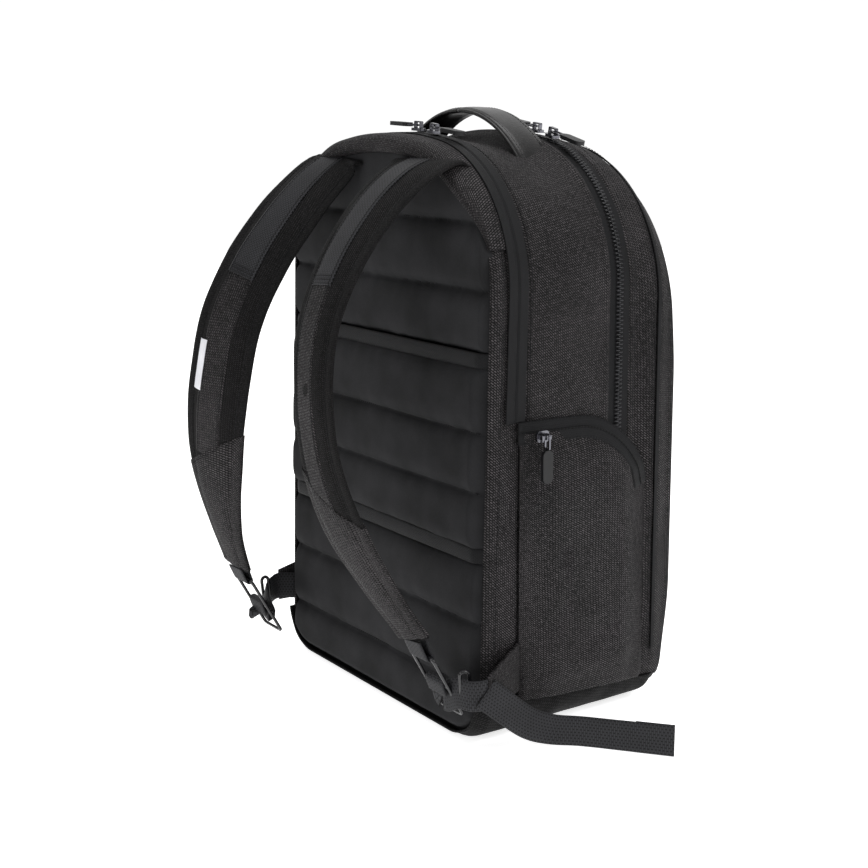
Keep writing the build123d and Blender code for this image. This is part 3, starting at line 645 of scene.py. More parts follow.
def build_shell():
    """Body shell, front shell, front panel and base."""
    rows = 400

    def body_place(u, v):
        front = MAIN_ZIP_Y + 1 * MM
        for _ in range(2):
            low = distance_at(base_seam(0.03))
            distance = low + (2 * HALF_LENGTH - 2 * low) * v
            z = outline_at(distance)[0].y
            y = back_y(z, 3 * MM) + (front - back_y(z, 3 * MM)) * u
        low = distance_at(base_seam(y))
        distance = low + (2 * HALF_LENGTH - 2 * low) * v
        spot = shell_point(distance, y)
        top = smooth(z, 0.40, 0.47)
        swell = 1.1 * MM * ripple(spot, 0.055, 3) + 0.5 * MM * ripple(spot, 0.02, 9)
        calm = 1 - 0.6 * top
        return shell_point(distance, y, body_profile(y, z) + swell * calm * sin(pi * u) ** 0.5)

    length = 2 * HALF_LENGTH - 2 * distance_at(base_seam(0))
    body = sheet_piece("body_shell", rows, 64, body_place, (BACK_Y - MAIN_ZIP_Y, length), thickness=1.6 * MM)
    finish_piece(body, "bag", MATERIALS["ballistic_nylon"], ("body_gusset", "laptop_gusset"))

    def front_place(u, v):
        near = distance_at(base_seam(FRONT_Y))
        height = outline_at(near + (2 * HALF_LENGTH - 2 * near) * v)[0].y
        y = MAIN_ZIP_Y - 1 * MM + (front_y(height) - MAIN_ZIP_Y + 1 * MM) * u
        low = distance_at(base_seam(y))
        distance = low + (2 * HALF_LENGTH - 2 * low) * v
        z = outline_at(distance)[0].y
        spot = shell_point(distance, y)
        swell = 1.0 * MM * ripple(spot, 0.05, 5) * sin(pi * u) ** 0.5
        out = front_profile(y) * smooth(z, 0.0, 0.09) + swell
        return shell_point(distance, y, out, drop_at(y))

    depth = MAIN_ZIP_Y - FRONT_Y
    front = sheet_piece("front_shell", rows, 40, front_place, (depth, length), thickness=1.6 * MM)
    finish_piece(front, "bag", MATERIALS["ballistic_nylon"], ("front_gusset",))

    def arch_top(x):
        """Height of the front outline at x, with its lower arch."""
        lower, upper = 0.0, HALF_LENGTH
        for _ in range(30):
            middle = (lower + upper) / 2
            point = outline_at(middle)[0]
            if abs(point.x) > abs(x) or point.y < BOTTOM_R * 1.2:
                lower = middle
            else:
                upper = middle
        z = outline_at(lower)[0].y
        return z - FRONT_DROP * smooth(z, 0.20, SHOULDER_Z)

    tops = {}

    def panel_place(u, v):
        x = (HALF_W - 1 * MM) * sin(pi / 2 * (2 * u - 1))
        key = round(x, 6)
        if key not in tops:
            tops[key] = arch_top(x)
        low = base_seam(FRONT_Y)
        z = low + (tops[key] - low) * v
        rim = min(HALF_W - abs(x), tops[key] - z)
        bulge = 5 * MM * smooth(rim, 0, 70 * MM) + 3.5 * MM * smooth(rim, 0, 7 * MM)
        spot = Vector((x, FRONT_Y, z))
        bulge += 1.2 * MM * ripple(spot, 0.07, 8) * smooth(rim, 0, 30 * MM)
        return Vector((x, front_y(z) + 3.5 * MM - bulge, z))

    panel = sheet_piece("front_panel_cloth", 120, 90, panel_place, (2 * HALF_W, HEIGHT), thickness=1.6 * MM)
    finish_piece(panel, "bag", MATERIALS["ballistic_nylon"], ("front_panel",))

    def base_place(u, v):
        y = back_y(0, 0) + (FRONT_Y - 2.5 * MM - back_y(0, 0)) * u
        low = distance_at(base_seam(y) + 1.5 * MM)
        distance = low * (1 - 2 * v)
        point, normal = outline_at(abs(distance))
        if distance < 0:
            point, normal = Vector((-point.x, point.y)), Vector((-normal.x, normal.y))
        ends = min(u, 1 - u) * (BACK_Y - FRONT_Y)
        tuck = -6 * MM * (1 - smooth(ends, 0, 14 * MM))
        spot = Vector((point.x, y, point.y))
        side = smooth(point.y, 2 * MM, 16 * MM)
        crease = (1.6 * MM * ripple(spot, 0.018, 2) + 1.2 * MM * ripple(spot, 0.035, 7)) * side
        out = tuck + crease + 1.5 * MM * side
        return Vector((point.x + normal.x * out, y, max(point.y + normal.y * out, 0.1 * MM)))

    base = sheet_piece("base_cloth", 220, 80, base_place, (BACK_Y - FRONT_Y, 2 * FOOT), thickness=1.6 * MM)
    # The base and its front wall take the shell weave with painted shade: darker floats.
    finish_piece(base, "bag", MATERIALS["ballistic_nylon_shaded_base"], ("base_tub",))

    def kick_place(u, v):
        """The base's front wall, which rises to the seam under the front panel."""
        x = (FOOT + 36 * MM) * (2 * u - 1)
        over = max(abs(x) - FOOT, 0.0)
        bottom = BOTTOM_R - sqrt(max(BOTTOM_R**2 - over**2, 0)) + 1.5 * MM
        z = bottom + (base_seam(FRONT_Y) + 1 * MM - bottom) * v
        spot = Vector((x, FRONT_Y, z))
        roll = 4 * MM * (1 - smooth(z - bottom, 0, 10 * MM))
        return Vector((x, FRONT_Y - 2.5 * MM + roll - 1.2 * MM * ripple(spot, 0.02, 4), z))

    kick = sheet_piece("base_front", 20, 120, kick_place, (2 * FOOT, 36 * MM), thickness=1.4 * MM)
    finish_piece(kick, "bag", MATERIALS["ballistic_nylon_shaded_base"])


def outline_band(name, middle, width, start_z, thickness, out, groove=0.0, rows=360):
    """A flat band laid round the arch: zip tape or binding. middle(z) is its depth coordinate."""
    start = distance_at(start_z)

    def place(u, v):
        distance = start + (2 * HALF_LENGTH - 2 * start) * v
        z = outline_at(distance)[0].y
        y = middle(z) + (0.5 - u) * width
        lift = out - groove * dent(u, 0.5, 0.05)
        return shell_point(distance, y, lift, drop_at(y))

    length = 2 * HALF_LENGTH - 2 * start
    return sheet_piece(name, rows, 24, place, (width, length), thickness=thickness)


def repeat_shape(name, base, faces, frames):
    """One small shape copied to each frame, a (place, x, y, z) of points and directions."""
    points, polygons = [], []
    for here, ax, ay, az in frames:
        offset = len(points)
        points += [here + ax * p.x + ay * p.y + az * p.z for p in base]
        polygons += [tuple(k + offset for k in f) for f in faces]
    mesh = bpy.data.meshes.new(name)
    mesh.from_pydata(points, [], polygons)
    mesh.update()
    obj = bpy.data.objects.new(name, mesh)
    bpy.context.scene.collection.objects.link(obj)
    deselect()
    obj.select_set(True)
    bpy.context.view_layer.objects.active = obj
    bpy.ops.object.mode_set(mode="EDIT")
    bpy.ops.mesh.select_all(action="SELECT")
    bpy.ops.mesh.normals_make_consistent(inside=False)
    bpy.ops.object.mode_set(mode="OBJECT")
    return obj


def capsule(radius, length, sides=6):
    """Points and faces of a short rounded bar along its own y axis, from a bevelled cylinder."""
    deselect()
    bpy.ops.mesh.primitive_cylinder_add(vertices=sides, radius=radius, depth=length, rotation=(pi / 2, 0, 0))
    obj = bpy.context.object
    bpy.ops.object.transform_apply(location=False, rotation=True, scale=False)
    bpy.ops.object.mode_set(mode="EDIT")
    bpy.ops.mesh.select_all(action="SELECT")
    bpy.ops.mesh.bevel(offset=radius * 0.45, segments=1, affect="EDGES")
    bpy.ops.object.mode_set(mode="OBJECT")
    base = [v.co.copy() for v in obj.data.vertices]
    faces = [tuple(p.vertices) for p in obj.data.polygons]
    mesh = obj.data
    bpy.data.objects.remove(obj)
    bpy.data.meshes.remove(mesh)
    return base, faces


def outline_frames(y_of, start_z, pitch, out):
    """Frames along the arch: x along it, y across it towards the back and z outwards."""
    start = distance_at(start_z)
    length = 2 * HALF_LENGTH - 2 * start
    frames = []
    for i in range(int(length / pitch)):
        distance = start + pitch * (i + 0.5)
        z = outline_at(distance)[0].y
        here = shell_point(distance, y_of(z), out, drop_at(y_of(z)))
        ahead = shell_point(distance + 1 * MM, y_of(z), out, drop_at(y_of(z)))
        normal2 = outline_at(distance)[1]
        along = (ahead - here).normalized()
        out_dir = Vector((normal2.x, 0, normal2.y))
        across = out_dir.cross(along).normalized()
        frames.append((here, along, across, out_dir))
    return frames


def stitches(name, frames_in, body, length=2.6 * MM, radius=0.33 * MM):
    """Thread stitches lying along each frame's x direction."""
    base, faces = capsule(radius, length)
    frames = [(h, y, x, z) for h, x, y, z in frames_in]
    obj = repeat_shape(name, base, faces, frames)
    return finish_piece(obj, body, MATERIALS["thread"])


def build_zips():
    """Laptop zip, main zip, their stitching and the seams below them."""
    laptop_mid = BROW_W + ZIP_W / 2
    tape = outline_band(
        "laptop_zip_band",
        lambda z: back_y(z, laptop_mid),
        ZIP_W - 2 * MM,
        LAPTOP_ZIP_END,
        1.0 * MM,
        1.9 * MM,
        groove=1.3 * MM,
    )
    finish_piece(
        tape, "bag", MATERIALS["zip_tape_cloth"], ("laptop_zip_tape", "laptop_zip_coil")
    )
    main = outline_band("main_zip_band", lambda z: MAIN_ZIP_Y, ZIP_W + 2 * MM, 0.232, 1.0 * MM, 0.3 * MM)
    finish_piece(main, "bag", MATERIALS["zip_tape_cloth"], ("main_zip_tape",))
    base, faces = capsule(0.85 * MM, 4.2 * MM)
    frames = outline_frames(lambda z: MAIN_ZIP_Y, 0.236, 1.6 * MM, 1.7 * MM)
    shifted = []
    for i, (here, along, across, out_dir) in enumerate(frames):
        side = 1.3 * MM if i % 2 else -1.3 * MM
        shifted.append((here + across * side, along, across, out_dir))
    coil = repeat_shape("main_zip_teeth", base, faces, shifted)
    finish_piece(coil, "bag", MATERIALS["nylon_coil"], ("main_zip_coil",))
    pitch = 3.6 * MM
    rows = (
        ("stitch_main_rear", lambda z: MAIN_ZIP_Y + 14.5 * MM, 0.25, 2.1 * MM),
        ("stitch_main_front", lambda z: MAIN_ZIP_Y - 14.5 * MM, 0.25, 3.3 * MM),
        ("stitch_laptop_rear", lambda z: back_y(z, BROW_W - 3 * MM), 0.05, 0.3 * MM),
        ("stitch_laptop_front", lambda z: back_y(z, SEAM_IN + 3.5 * MM), 0.05, 0.65 * MM),
        ("stitch_front_seam", lambda z: -77 * MM, 0.05, 6.6 * MM),
    )
    for name, y_of, start, out in rows:
        stitches(name, outline_frames(y_of, start, pitch, out), "bag")
    rim = outline_band("front_edge_binding", lambda z: -81.5 * MM, 3.0 * MM, 0.05, 1.4 * MM, 6.9 * MM)
    finish_piece(rim, "bag", MATERIALS["grosgrain_binding"])


# ---------------------------------------------------------------- quilted back
UPPER_SEAMS = (316, 363, 414, 478)
LOWER_SEAMS = (0, 46, 101, 151)
SLEEVE_SEAMS = (163, 207, 254, 304)


def outline_span(x):
    """Lowest and highest height of the pack's outline at distance x from the middle."""
    a = abs(x)
    low = 0.0
    if a > FOOT:
        low = BOTTOM_R - sqrt(max(BOTTOM_R**2 - (a - FOOT) ** 2, 0))
    if a < CROWN_R * cos(LEAN):
        return low, CROWN_Z + sqrt(CROWN_R**2 - a * a)
    return low, SHOULDER_Z + sqrt(max(SHOULDER_R**2 - (a - SHOULDER_X) ** 2, 0))


def channel_rise(z, seams, rise):
    """Height of a quilted channel at z: a full crown between two sewn valleys."""
    for low, high in zip(seams, seams[1:]):
        low, high = low * MM, high * MM
        if low <= z <= high:
            t = (z - low) / (high - low)
            return rise * (1 - abs(2 * t - 1) ** 3.6) ** 0.62
    return 0.0


def pucker(x, z, seams):
    """Small gathers that fade away from the nearest sewn seam."""
    nearest = min(abs(z - s * MM) for s in seams)
    wave = noise.noise(Vector((x / 0.011, 0.3, z / 0.05)))
    return wave * exp(-nearest / (9 * MM))


def build_brow():
    """Padded lip along the top of the back, over the ends of the shoulder straps."""
    start = distance_at(0.395)
    # Depth and outward offset of the lip's cross-section, in millimetres.
    section = (
        (17, 0.9), (9, 1.6), (2, 1.4), (-3, 0.2), (-6.5, -2.5), (-8, -6), (-7.5, -10), (-4, -13), (2, -14.5)
    )

    def place(u, v):
        distance = start + (2 * HALF_LENGTH - 2 * start) * v
        point, normal = outline_at(distance)
        grow = smooth(point.y, 0.392, 0.452)
        position = u * (len(section) - 1)
        k = min(int(position), len(section) - 2)
        part = position - k
        depth = section[k][0] * (1 - part) + section[k + 1][0] * part
        out = section[k][1] * (1 - part) + section[k + 1][1] * part
        if depth < 2:
            depth = 2 + (depth - 2) * grow
        if out < 0:
            out = out * (0.15 + 0.85 * grow)
        z = point.y + normal.y * out * MM
        spot = Vector((point.x, depth * MM, z))
        puff = 0.7 * MM * ripple(spot, 0.03, 31) * grow
        return Vector((point.x + normal.x * out * MM, back_y(z, depth * MM) + puff, z))

    size = (45 * MM, 2 * HALF_LENGTH - 2 * start)
    lip = sheet_piece("brow_lip", 300, 40, place, size, thickness=1.6 * MM, flip=True)
    finish_piece(lip, "bag", MATERIALS["ballistic_nylon"])


def build_quilt(sizes):
    """Quilted back pad, the luggage sleeve over it and the sleeve's hems."""
    rise = sizes.quilt_rise

    def pad_place(u, v):
        x = (HALF_W - 2.5 * MM) * sin(pi / 2 * (2 * u - 1))
        low, high = outline_span(x)
        low, high = low + 2.5 * MM, high - 2.5 * MM
        z = low + (high - low) * v
        rim = min((HALF_W - 2 * MM - abs(x)), high - z, z - low)
        edge = smooth(rim, 0, 11 * MM)
        if z > SLEEVE_Z[1]:
            lift = channel_rise(z, UPPER_SEAMS, rise)
            seams = UPPER_SEAMS
        elif z < SLEEVE_Z[0]:
            lift = channel_rise(z, LOWER_SEAMS, rise)
            seams = LOWER_SEAMS
        else:
            lift = -3.5 * MM
            seams = LOWER_SEAMS
        spot = Vector((x, 0, z))
        lift += 1.0 * MM * pucker(x, z, seams) + 0.9 * MM * ripple(spot, 0.05, 1)
        depth = 6.0 * MM - lift * edge + 3.5 * MM * (1 - edge)
        return Vector((x, back_y(z, depth), z))

    size = (2 * HALF_W, HEIGHT)
    pad = sheet_piece("quilted_back_cover", 260, 150, pad_place, size, thickness=3 * MM, flip=True)
    finish_piece(pad, "bag", MATERIALS["spacer_knit"], ("quilted_back_pad",))
    for seam, depth in ((363, 5.4), (414, 5.4), (46, 5.4), (101, 5.4), (207, 1.1), (254, 1.1)):
        frames = []
        for i in range(94):
            x = (i - 46.5) * 3.1 * MM
            here = Vector((x, back_y(seam * MM, depth * MM), seam * MM))
            frames.append((here, Vector((1, 0, 0)), Vector((0, 0, 1)), Vector((0, 1, 0))))
        stitches(f"quilt_seam_{seam}", frames, "bag", radius=0.5 * MM)

    def sleeve_place(u, v):
        x = (HALF_W - 3.0 * MM) * sin(pi / 2 * (2 * u - 1))
        z = SLEEVE_Z[0] + (SLEEVE_Z[1] - SLEEVE_Z[0]) * v
        rim = HALF_W - 2.5 * MM - abs(x)
        edge = smooth(rim, 0, 14 * MM)
        lift = channel_rise(z, SLEEVE_SEAMS, rise * 0.95)
        spot = Vector((x, 0, z))
        lift += 0.8 * MM * pucker(x, z, SLEEVE_SEAMS) + 0.9 * MM * ripple(spot, 0.05, 6)
        depth = 3.5 * MM - lift * edge - 1.8 * MM * edge + 4.5 * MM * (1 - edge)
        return Vector((x, back_y(z, depth), z))

    sleeve = sheet_piece(
        "luggage_sleeve_cover",
        120,
        150,
        sleeve_place,
        (2 * HALF_W, SLEEVE_Z[1] - SLEEVE_Z[0]),
        thickness=1.8 * MM,
        flip=True,
    )
    finish_piece(sleeve, "bag", MATERIALS["spacer_knit"], ("luggage_sleeve_pad",))

    for name, low in (("sleeve_top_hem", SLEEVE_Z[1] - 12 * MM), ("sleeve_bottom_hem", SLEEVE_Z[0])):

        def hem_place(u, v, low=low):
            x = (HALF_W - 4 * MM) * (2 * u - 1)
            z = low + 12.5 * MM * v
            rim = HALF_W - 3 * MM - abs(x)
            edge = smooth(rim, 0, 14 * MM)
            depth = 1.7 * MM - 1.3 * MM * edge + 4.5 * MM * (1 - edge) - 0.8 * MM * sin(pi * v)
            depth -= 0.5 * MM * ripple(Vector((x, 0, z)), 0.03, 6)
            return Vector((x, back_y(z, depth), z))

        hem = sheet_piece(name, 8, 120, hem_place, (2 * HALF_W, 12.5 * MM), thickness=1.2 * MM, flip=True)
        replaced = ("luggage_sleeve_hems",) if low > SLEEVE_Z[0] else ("luggage_sleeve_seams",)
        finish_piece(hem, "bag", MATERIALS["grosgrain_binding"], replaced)


# ---------------------------------------------------------------- pockets
def corner_top(y, front, top, corner):
    """Top edge of a side pocket at depth y: level, then a quarter round down at the front."""
    reach = front + corner - y
    if reach <= 0:
        return top
    return top - corner + sqrt(max(corner**2 - reach**2, 0.0))


def build_pockets():
    """Side pockets with their curved zips, and the raised front pocket."""
    corner = 80 * MM
    back, front, top = POCKET_HIGH.y, POCKET_LOW.y, POCKET_HIGH.z
    for side, sign in (("left", -1), ("right", 1)):

        def lift_at(y, z, sign=sign):
            rim_top = corner_top(y, front, top, corner) - z
            rim = min(back - y, y - front, rim_top)
            swell = 9.0 * MM * smooth(rim, -1 * MM, 34 * MM)
            low = smooth(z, base_seam(y), 60 * MM)
            ease = 2.5 * MM * smooth(rim, -1 * MM, 5 * MM)
            spot = Vector((sign * HALF_W, y, z))
            loose = 1.5 * MM * ripple(spot, 0.06, 11) + 0.6 * MM * ripple(spot, 0.022, 12)
            return (swell * (0.25 + 0.75 * low) + ease + loose * smooth(rim, 0, 20 * MM)) + 2.0 * MM

        def pocket_place(u, v, sign=sign, lift_at=lift_at):
            y = back - (back - front) * (0.5 - 0.5 * cos(pi * u) * 0.6 - 0.5 * 0.4 * (1 - 2 * u))
            high = corner_top(y, front, top - 9 * MM, corner - 9 * MM)
            low = base_seam(y) + 1 * MM
            z = low + (high - low) * v
            inward = 0.0
            if z < BOTTOM_R:
                inward = BOTTOM_R - sqrt(BOTTOM_R**2 - (BOTTOM_R - z) ** 2)
            return Vector((sign * (HALF_W - inward + lift_at(y, z)), y, z))

        size = (back - front, top)
        cover = sheet_piece(
            f"{side}_pocket_cloth", 120, 80, pocket_place, size, thickness=1.5 * MM, flip=sign > 0
        )
        finish_piece(cover, "bag", MATERIALS["ballistic_nylon"], (f"{side}_side_pocket",))

        path = [(back + 2 * MM, top), (front + corner, top)]
        for i in range(1, 13):
            angle = pi / 2 + pi / 2 * i / 14
            path.append((front + corner + corner * cos(angle), top - corner + corner * sin(angle)))
        points, sides = [], []
        for i, (y, z) in enumerate(path):
            ahead = path[min(i + 1, len(path) - 1)]
            behind = path[max(i - 1, 0)]
            along = Vector((0, ahead[0] - behind[0], ahead[1] - behind[1])).normalized()
            inward = Vector((0, -along.z, along.y))
            centre = Vector((0, y, z)) + inward * 9.0 * MM
            lift = lift_at(centre.y, centre.z)
            points.append(Vector((sign * (HALF_W + lift + 0.3 * MM), centre.y, centre.z)))
            lower = Vector((0, y, z)) + inward * 18 * MM
            upper = Vector((0, y, z))
            rise = lift_at(lower.y, lower.z) - lift_at(upper.y, upper.z)
            sides.append((lower - upper + Vector((sign * rise * 0.6, 0, 0))) * (1 if sign < 0 else -1))
        ribbon = Ribbon(points, sides, 100)
        probe = ribbon.at(0.5, 0, 1 * MM) - ribbon.at(0.5)
        up = 1 if probe.x * sign > 0 else -1
        tape = band(f"{side}_pocket_zip_band", ribbon, 18 * MM, 1.1 * MM, lift=up * 0.55 * MM - 0.55 * MM)
        finish_piece(tape, "bag", MATERIALS["zip_tape_cloth"], (f"{side}_pocket_zip_tape",))
        for name, shift in (("seam", 0.0), ("upper", -8.0 * MM), ("lower", 8.0 * MM)):
            frames = []
            count = int(ribbon.length / (3.2 * MM))
            for i in range(count):
                t = (i + 0.5) / count
                here = ribbon.at(t, shift, up * 1.15 * MM)
                along = (ribbon.at(t + 0.01, shift) - ribbon.at(t - 0.01, shift)).normalized()
                out = (ribbon.at(t, shift, up * 2 * MM) - ribbon.at(t, shift)).normalized()
                frames.append((here, along, out.cross(along), out))
            if name == "seam":
                base, faces = capsule(0.9 * MM, 4.2 * MM)
                turned = [(h, c, a, o) for h, a, c, o in frames]
                rail = repeat_shape(f"{side}_pocket_zip_seam", base, faces, turned)
                finish_piece(rail, "bag", MATERIALS["zip_tape_cloth"])
            else:
                stitches(f"{side}_pocket_stitch_{name}", frames, "bag")

    zip_z = sum(c.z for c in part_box("front_pocket_zip_tape")) / 2
    width, low, high = FRONT_HIGH.x + 14 * MM, base_seam(FRONT_Y) + 4 * MM, FRONT_HIGH.z
    depth = FRONT_HIGH.y - FRONT_LOW.y

    def front_place(u, v):
        x = width * sin(pi / 2 * (2 * u - 1))
        round_r = 30 * MM
        over = max(abs(x) - (width - round_r), 0.0)
        cut = round_r - sqrt(max(round_r**2 - over**2, 0))
        z = low + cut + (high - low - 2 * cut) * v
        rim = min(width - abs(x), z - low - cut, high - cut - z)
        wall = smooth(rim, -2 * MM, 16 * MM)
        spot = Vector((x, FRONT_Y, z))
        swell = depth * wall - 3.8 * MM * dent(z, zip_z, 14 * MM) * wall
        swell = swell + 1.5 * MM * smooth(rim, 0, 60 * MM) + 1.2 * MM * ripple(spot, 0.05, 15) * wall
        return Vector((x, front_y(z) + 3 * MM - swell, z))

    size = (2 * width, high - low)
    cloth = sheet_piece("front_pocket_cloth", 130, 100, front_place, size, thickness=1.5 * MM)
    finish_piece(cloth, "bag", MATERIALS["ballistic_nylon"], ("front_pocket",))
    def zip_place(u, v):
        x = 114 * MM * (2 * v - 1)
        z = zip_z + 9 * MM * (1 - 2 * u)
        y = front_place((2 / pi * np.arcsin(x / width) + 1) / 2, (z - low) / (high - low)).y
        return Vector((x, y - 0.2 * MM - 0.6 * MM * dent(u, 0.5, 0.08), z))

    tape = sheet_piece("front_pocket_zip_band", 90, 16, zip_place, (18 * MM, 228 * MM), thickness=1.1 * MM)
    finish_piece(tape, "bag", MATERIALS["zip_tape_cloth"], ("front_pocket_zip_tape",))


# ---------------------------------------------------------------- carrying handle
def build_handle():
    """Leather handle over a padded core, with piped edges, stitched ends and end tabs."""
    middle_y = (GRIP_LOW.y + GRIP_HIGH.y) / 2
    top = GRIP_HIGH.z
    foot = ENDS_HIGH.x - 3 * MM
    low = ENDS_LOW.z - 7 * MM
    sag = top - low
    radius = (foot**2 + sag**2) / (2 * sag)
    centre = top - radius
    for side, sign in (("left", -1), ("right", 1)):
        reach = atan2(foot, low - centre)
        points, sides = [], []
        for i in range(14):
            angle = sign * reach * (1 - i / 13)
            points.append(Vector((radius * sin(angle), middle_y, centre + radius * cos(angle) - 4.4 * MM)))
            sides.append((0, sign, 0))
        extra = Vector((sign * (foot + 14 * MM), middle_y, low - 4.4 * MM - 11 * MM))
        points.insert(0, extra)
        sides.insert(0, (0, sign, 0))
        ribbon = Ribbon(points, sides, 120)
        probe = ribbon.at(0.5, 0, 1 * MM) - ribbon.at(0.5)
        up = 1 if probe.z > 0 else -1
        blend = ("bag", "handle", (sign * (foot - 6 * MM), middle_y, low), (sign * 50 * MM, middle_y, low))
        width = GRIP_HIGH.y - GRIP_LOW.y
        lift = 0 if up > 0 else -4.2 * MM
        grip = band(f"handle_{side}_strap", ribbon, width - 3 * MM, 4.2 * MM, lift=lift, crown=up * 1.0 * MM)
        replaced = ("handle_grip",) if sign < 0 else ("handle_end_tabs",)
        finish_piece(grip, blend, MATERIALS["rolled_leather"], replaced)
        for edge, way in (("near", 1), ("far", -1)):
            cord = tube(
                f"handle_{side}_piping_{edge}",
                [ribbon.at(t / 50, way * (width / 2 - 1.2 * MM), up * 2.2 * MM) for t in range(51)],
                1.5 * MM,
            )
            finish_piece(cord, blend, MATERIALS["rolled_leather"])
            frames = []
            count = int(ribbon.length / (3.6 * MM))
            for i in range(count):
                t = (i + 0.5) / count
                side_at = way * (width / 2 - 5.0 * MM)
                here = ribbon.at(t, side_at, up * 4.55 * MM)
                along = (ribbon.at(t + 0.01, side_at) - ribbon.at(t - 0.01, side_at)).normalized()
                out = (ribbon.at(t, side_at, up * 2 * MM) - ribbon.at(t, side_at)).normalized()
                frames.append((here, along, out.cross(along), out))
            stitches(f"handle_{side}_stitch_{edge}", frames, blend, length=2.8 * MM)


def tube(name, points, radius, closed=False, sides=10, flat=1.0):
    """A round tube through the points, closed into a ring or capped at both ends."""
    count = len(points)
    frames = []
    guide = Vector((0.3, 0.2, 0.93))
    for i in range(count):
        if closed:
            along = points[(i + 1) % count] - points[i - 1]
        else:
            along = points[min(i + 1, count - 1)] - points[max(i - 1, 0)]
        along.normalize()
        guide = (guide - along * guide.dot(along)).normalized()
        frames.append((points[i], guide.copy(), along.cross(guide)))
    rows = count if closed else count - 1

    def place(u, v):
        here, a, b = frames[int(round(v * rows)) % count]
        angle = 2 * pi * (int(round(u * sides)) % sides) / sides
        return here + (a * cos(angle) + b * sin(angle) * flat) * radius

    length = sum((points[i] - points[i - 1]).length for i in range(1, count))
    obj = sheet_piece(name, rows, sides, place, (2 * pi * radius, length), wrap=True)
    close_ends(obj)
    return obj


# ---------------------------------------------------------------- shoulder straps
STRAPS = {  # x, y, z and lean in degrees, from under the brow to the lower end
    "left": (
        (66, 72, 455, 0),
        (70, 86, 456, 0),
        (76, 112, 445, 1),
        (78, 140, 422, 2),
        (80, 170, 384, 4),
        (83, 192, 338, 5),
        (88, 200, 287, 4),
        (95, 198, 236, 0),
        (104, 184, 185, -5),
        (114, 160, 137, -9),
        (124, 135, 95, -12),
    ),
    "right": (
        (62, 72, 455, 8),
        (66, 86, 453, 14),
        (68, 106, 437, 20),
        (71, 130, 412, 24),
        (76, 158, 374, 25),
        (82, 180, 328, 23),
        (87, 190, 280, 21),
        (97, 192, 232, 16),
        (108, 187, 183, 10),
        (119, 175, 137, 6),
        (127, 160, 96, 4),
    ),
}


def strap_section(width, thickness, x):
    """Upper surface of the padded strap at x across it (-1 to 1): bound edges and a crowned middle."""
    edge = 1 - 9 * MM / (width / 2)
    flat = 2.4 * MM
    a = abs(x)
    if a > edge:
        return flat * (1 - ((a - edge) / (1 - edge)) ** 4 * 0.75)
    crown = (1 - (a / edge) ** 3.0) ** 0.8
    return flat + (thickness / 2 - flat) * crown - 0.7 * MM * dent(a, edge, 0.04)


def strap_sizes(t, sizes):
    """Width and thickness of a strap at share t from its top."""
    width = sizes.strap_width
    width *= 1 + 0.18 * (1 - smooth(t, 0.05, 0.40)) - 0.42 * smooth(t, 0.70, 1.0)
    thick = sizes.strap_thickness * (0.55 + 0.45 * smooth(t, 0.0, 0.12)) * (1 - 0.45 * smooth(t, 0.85, 1.0))
    return width, thick


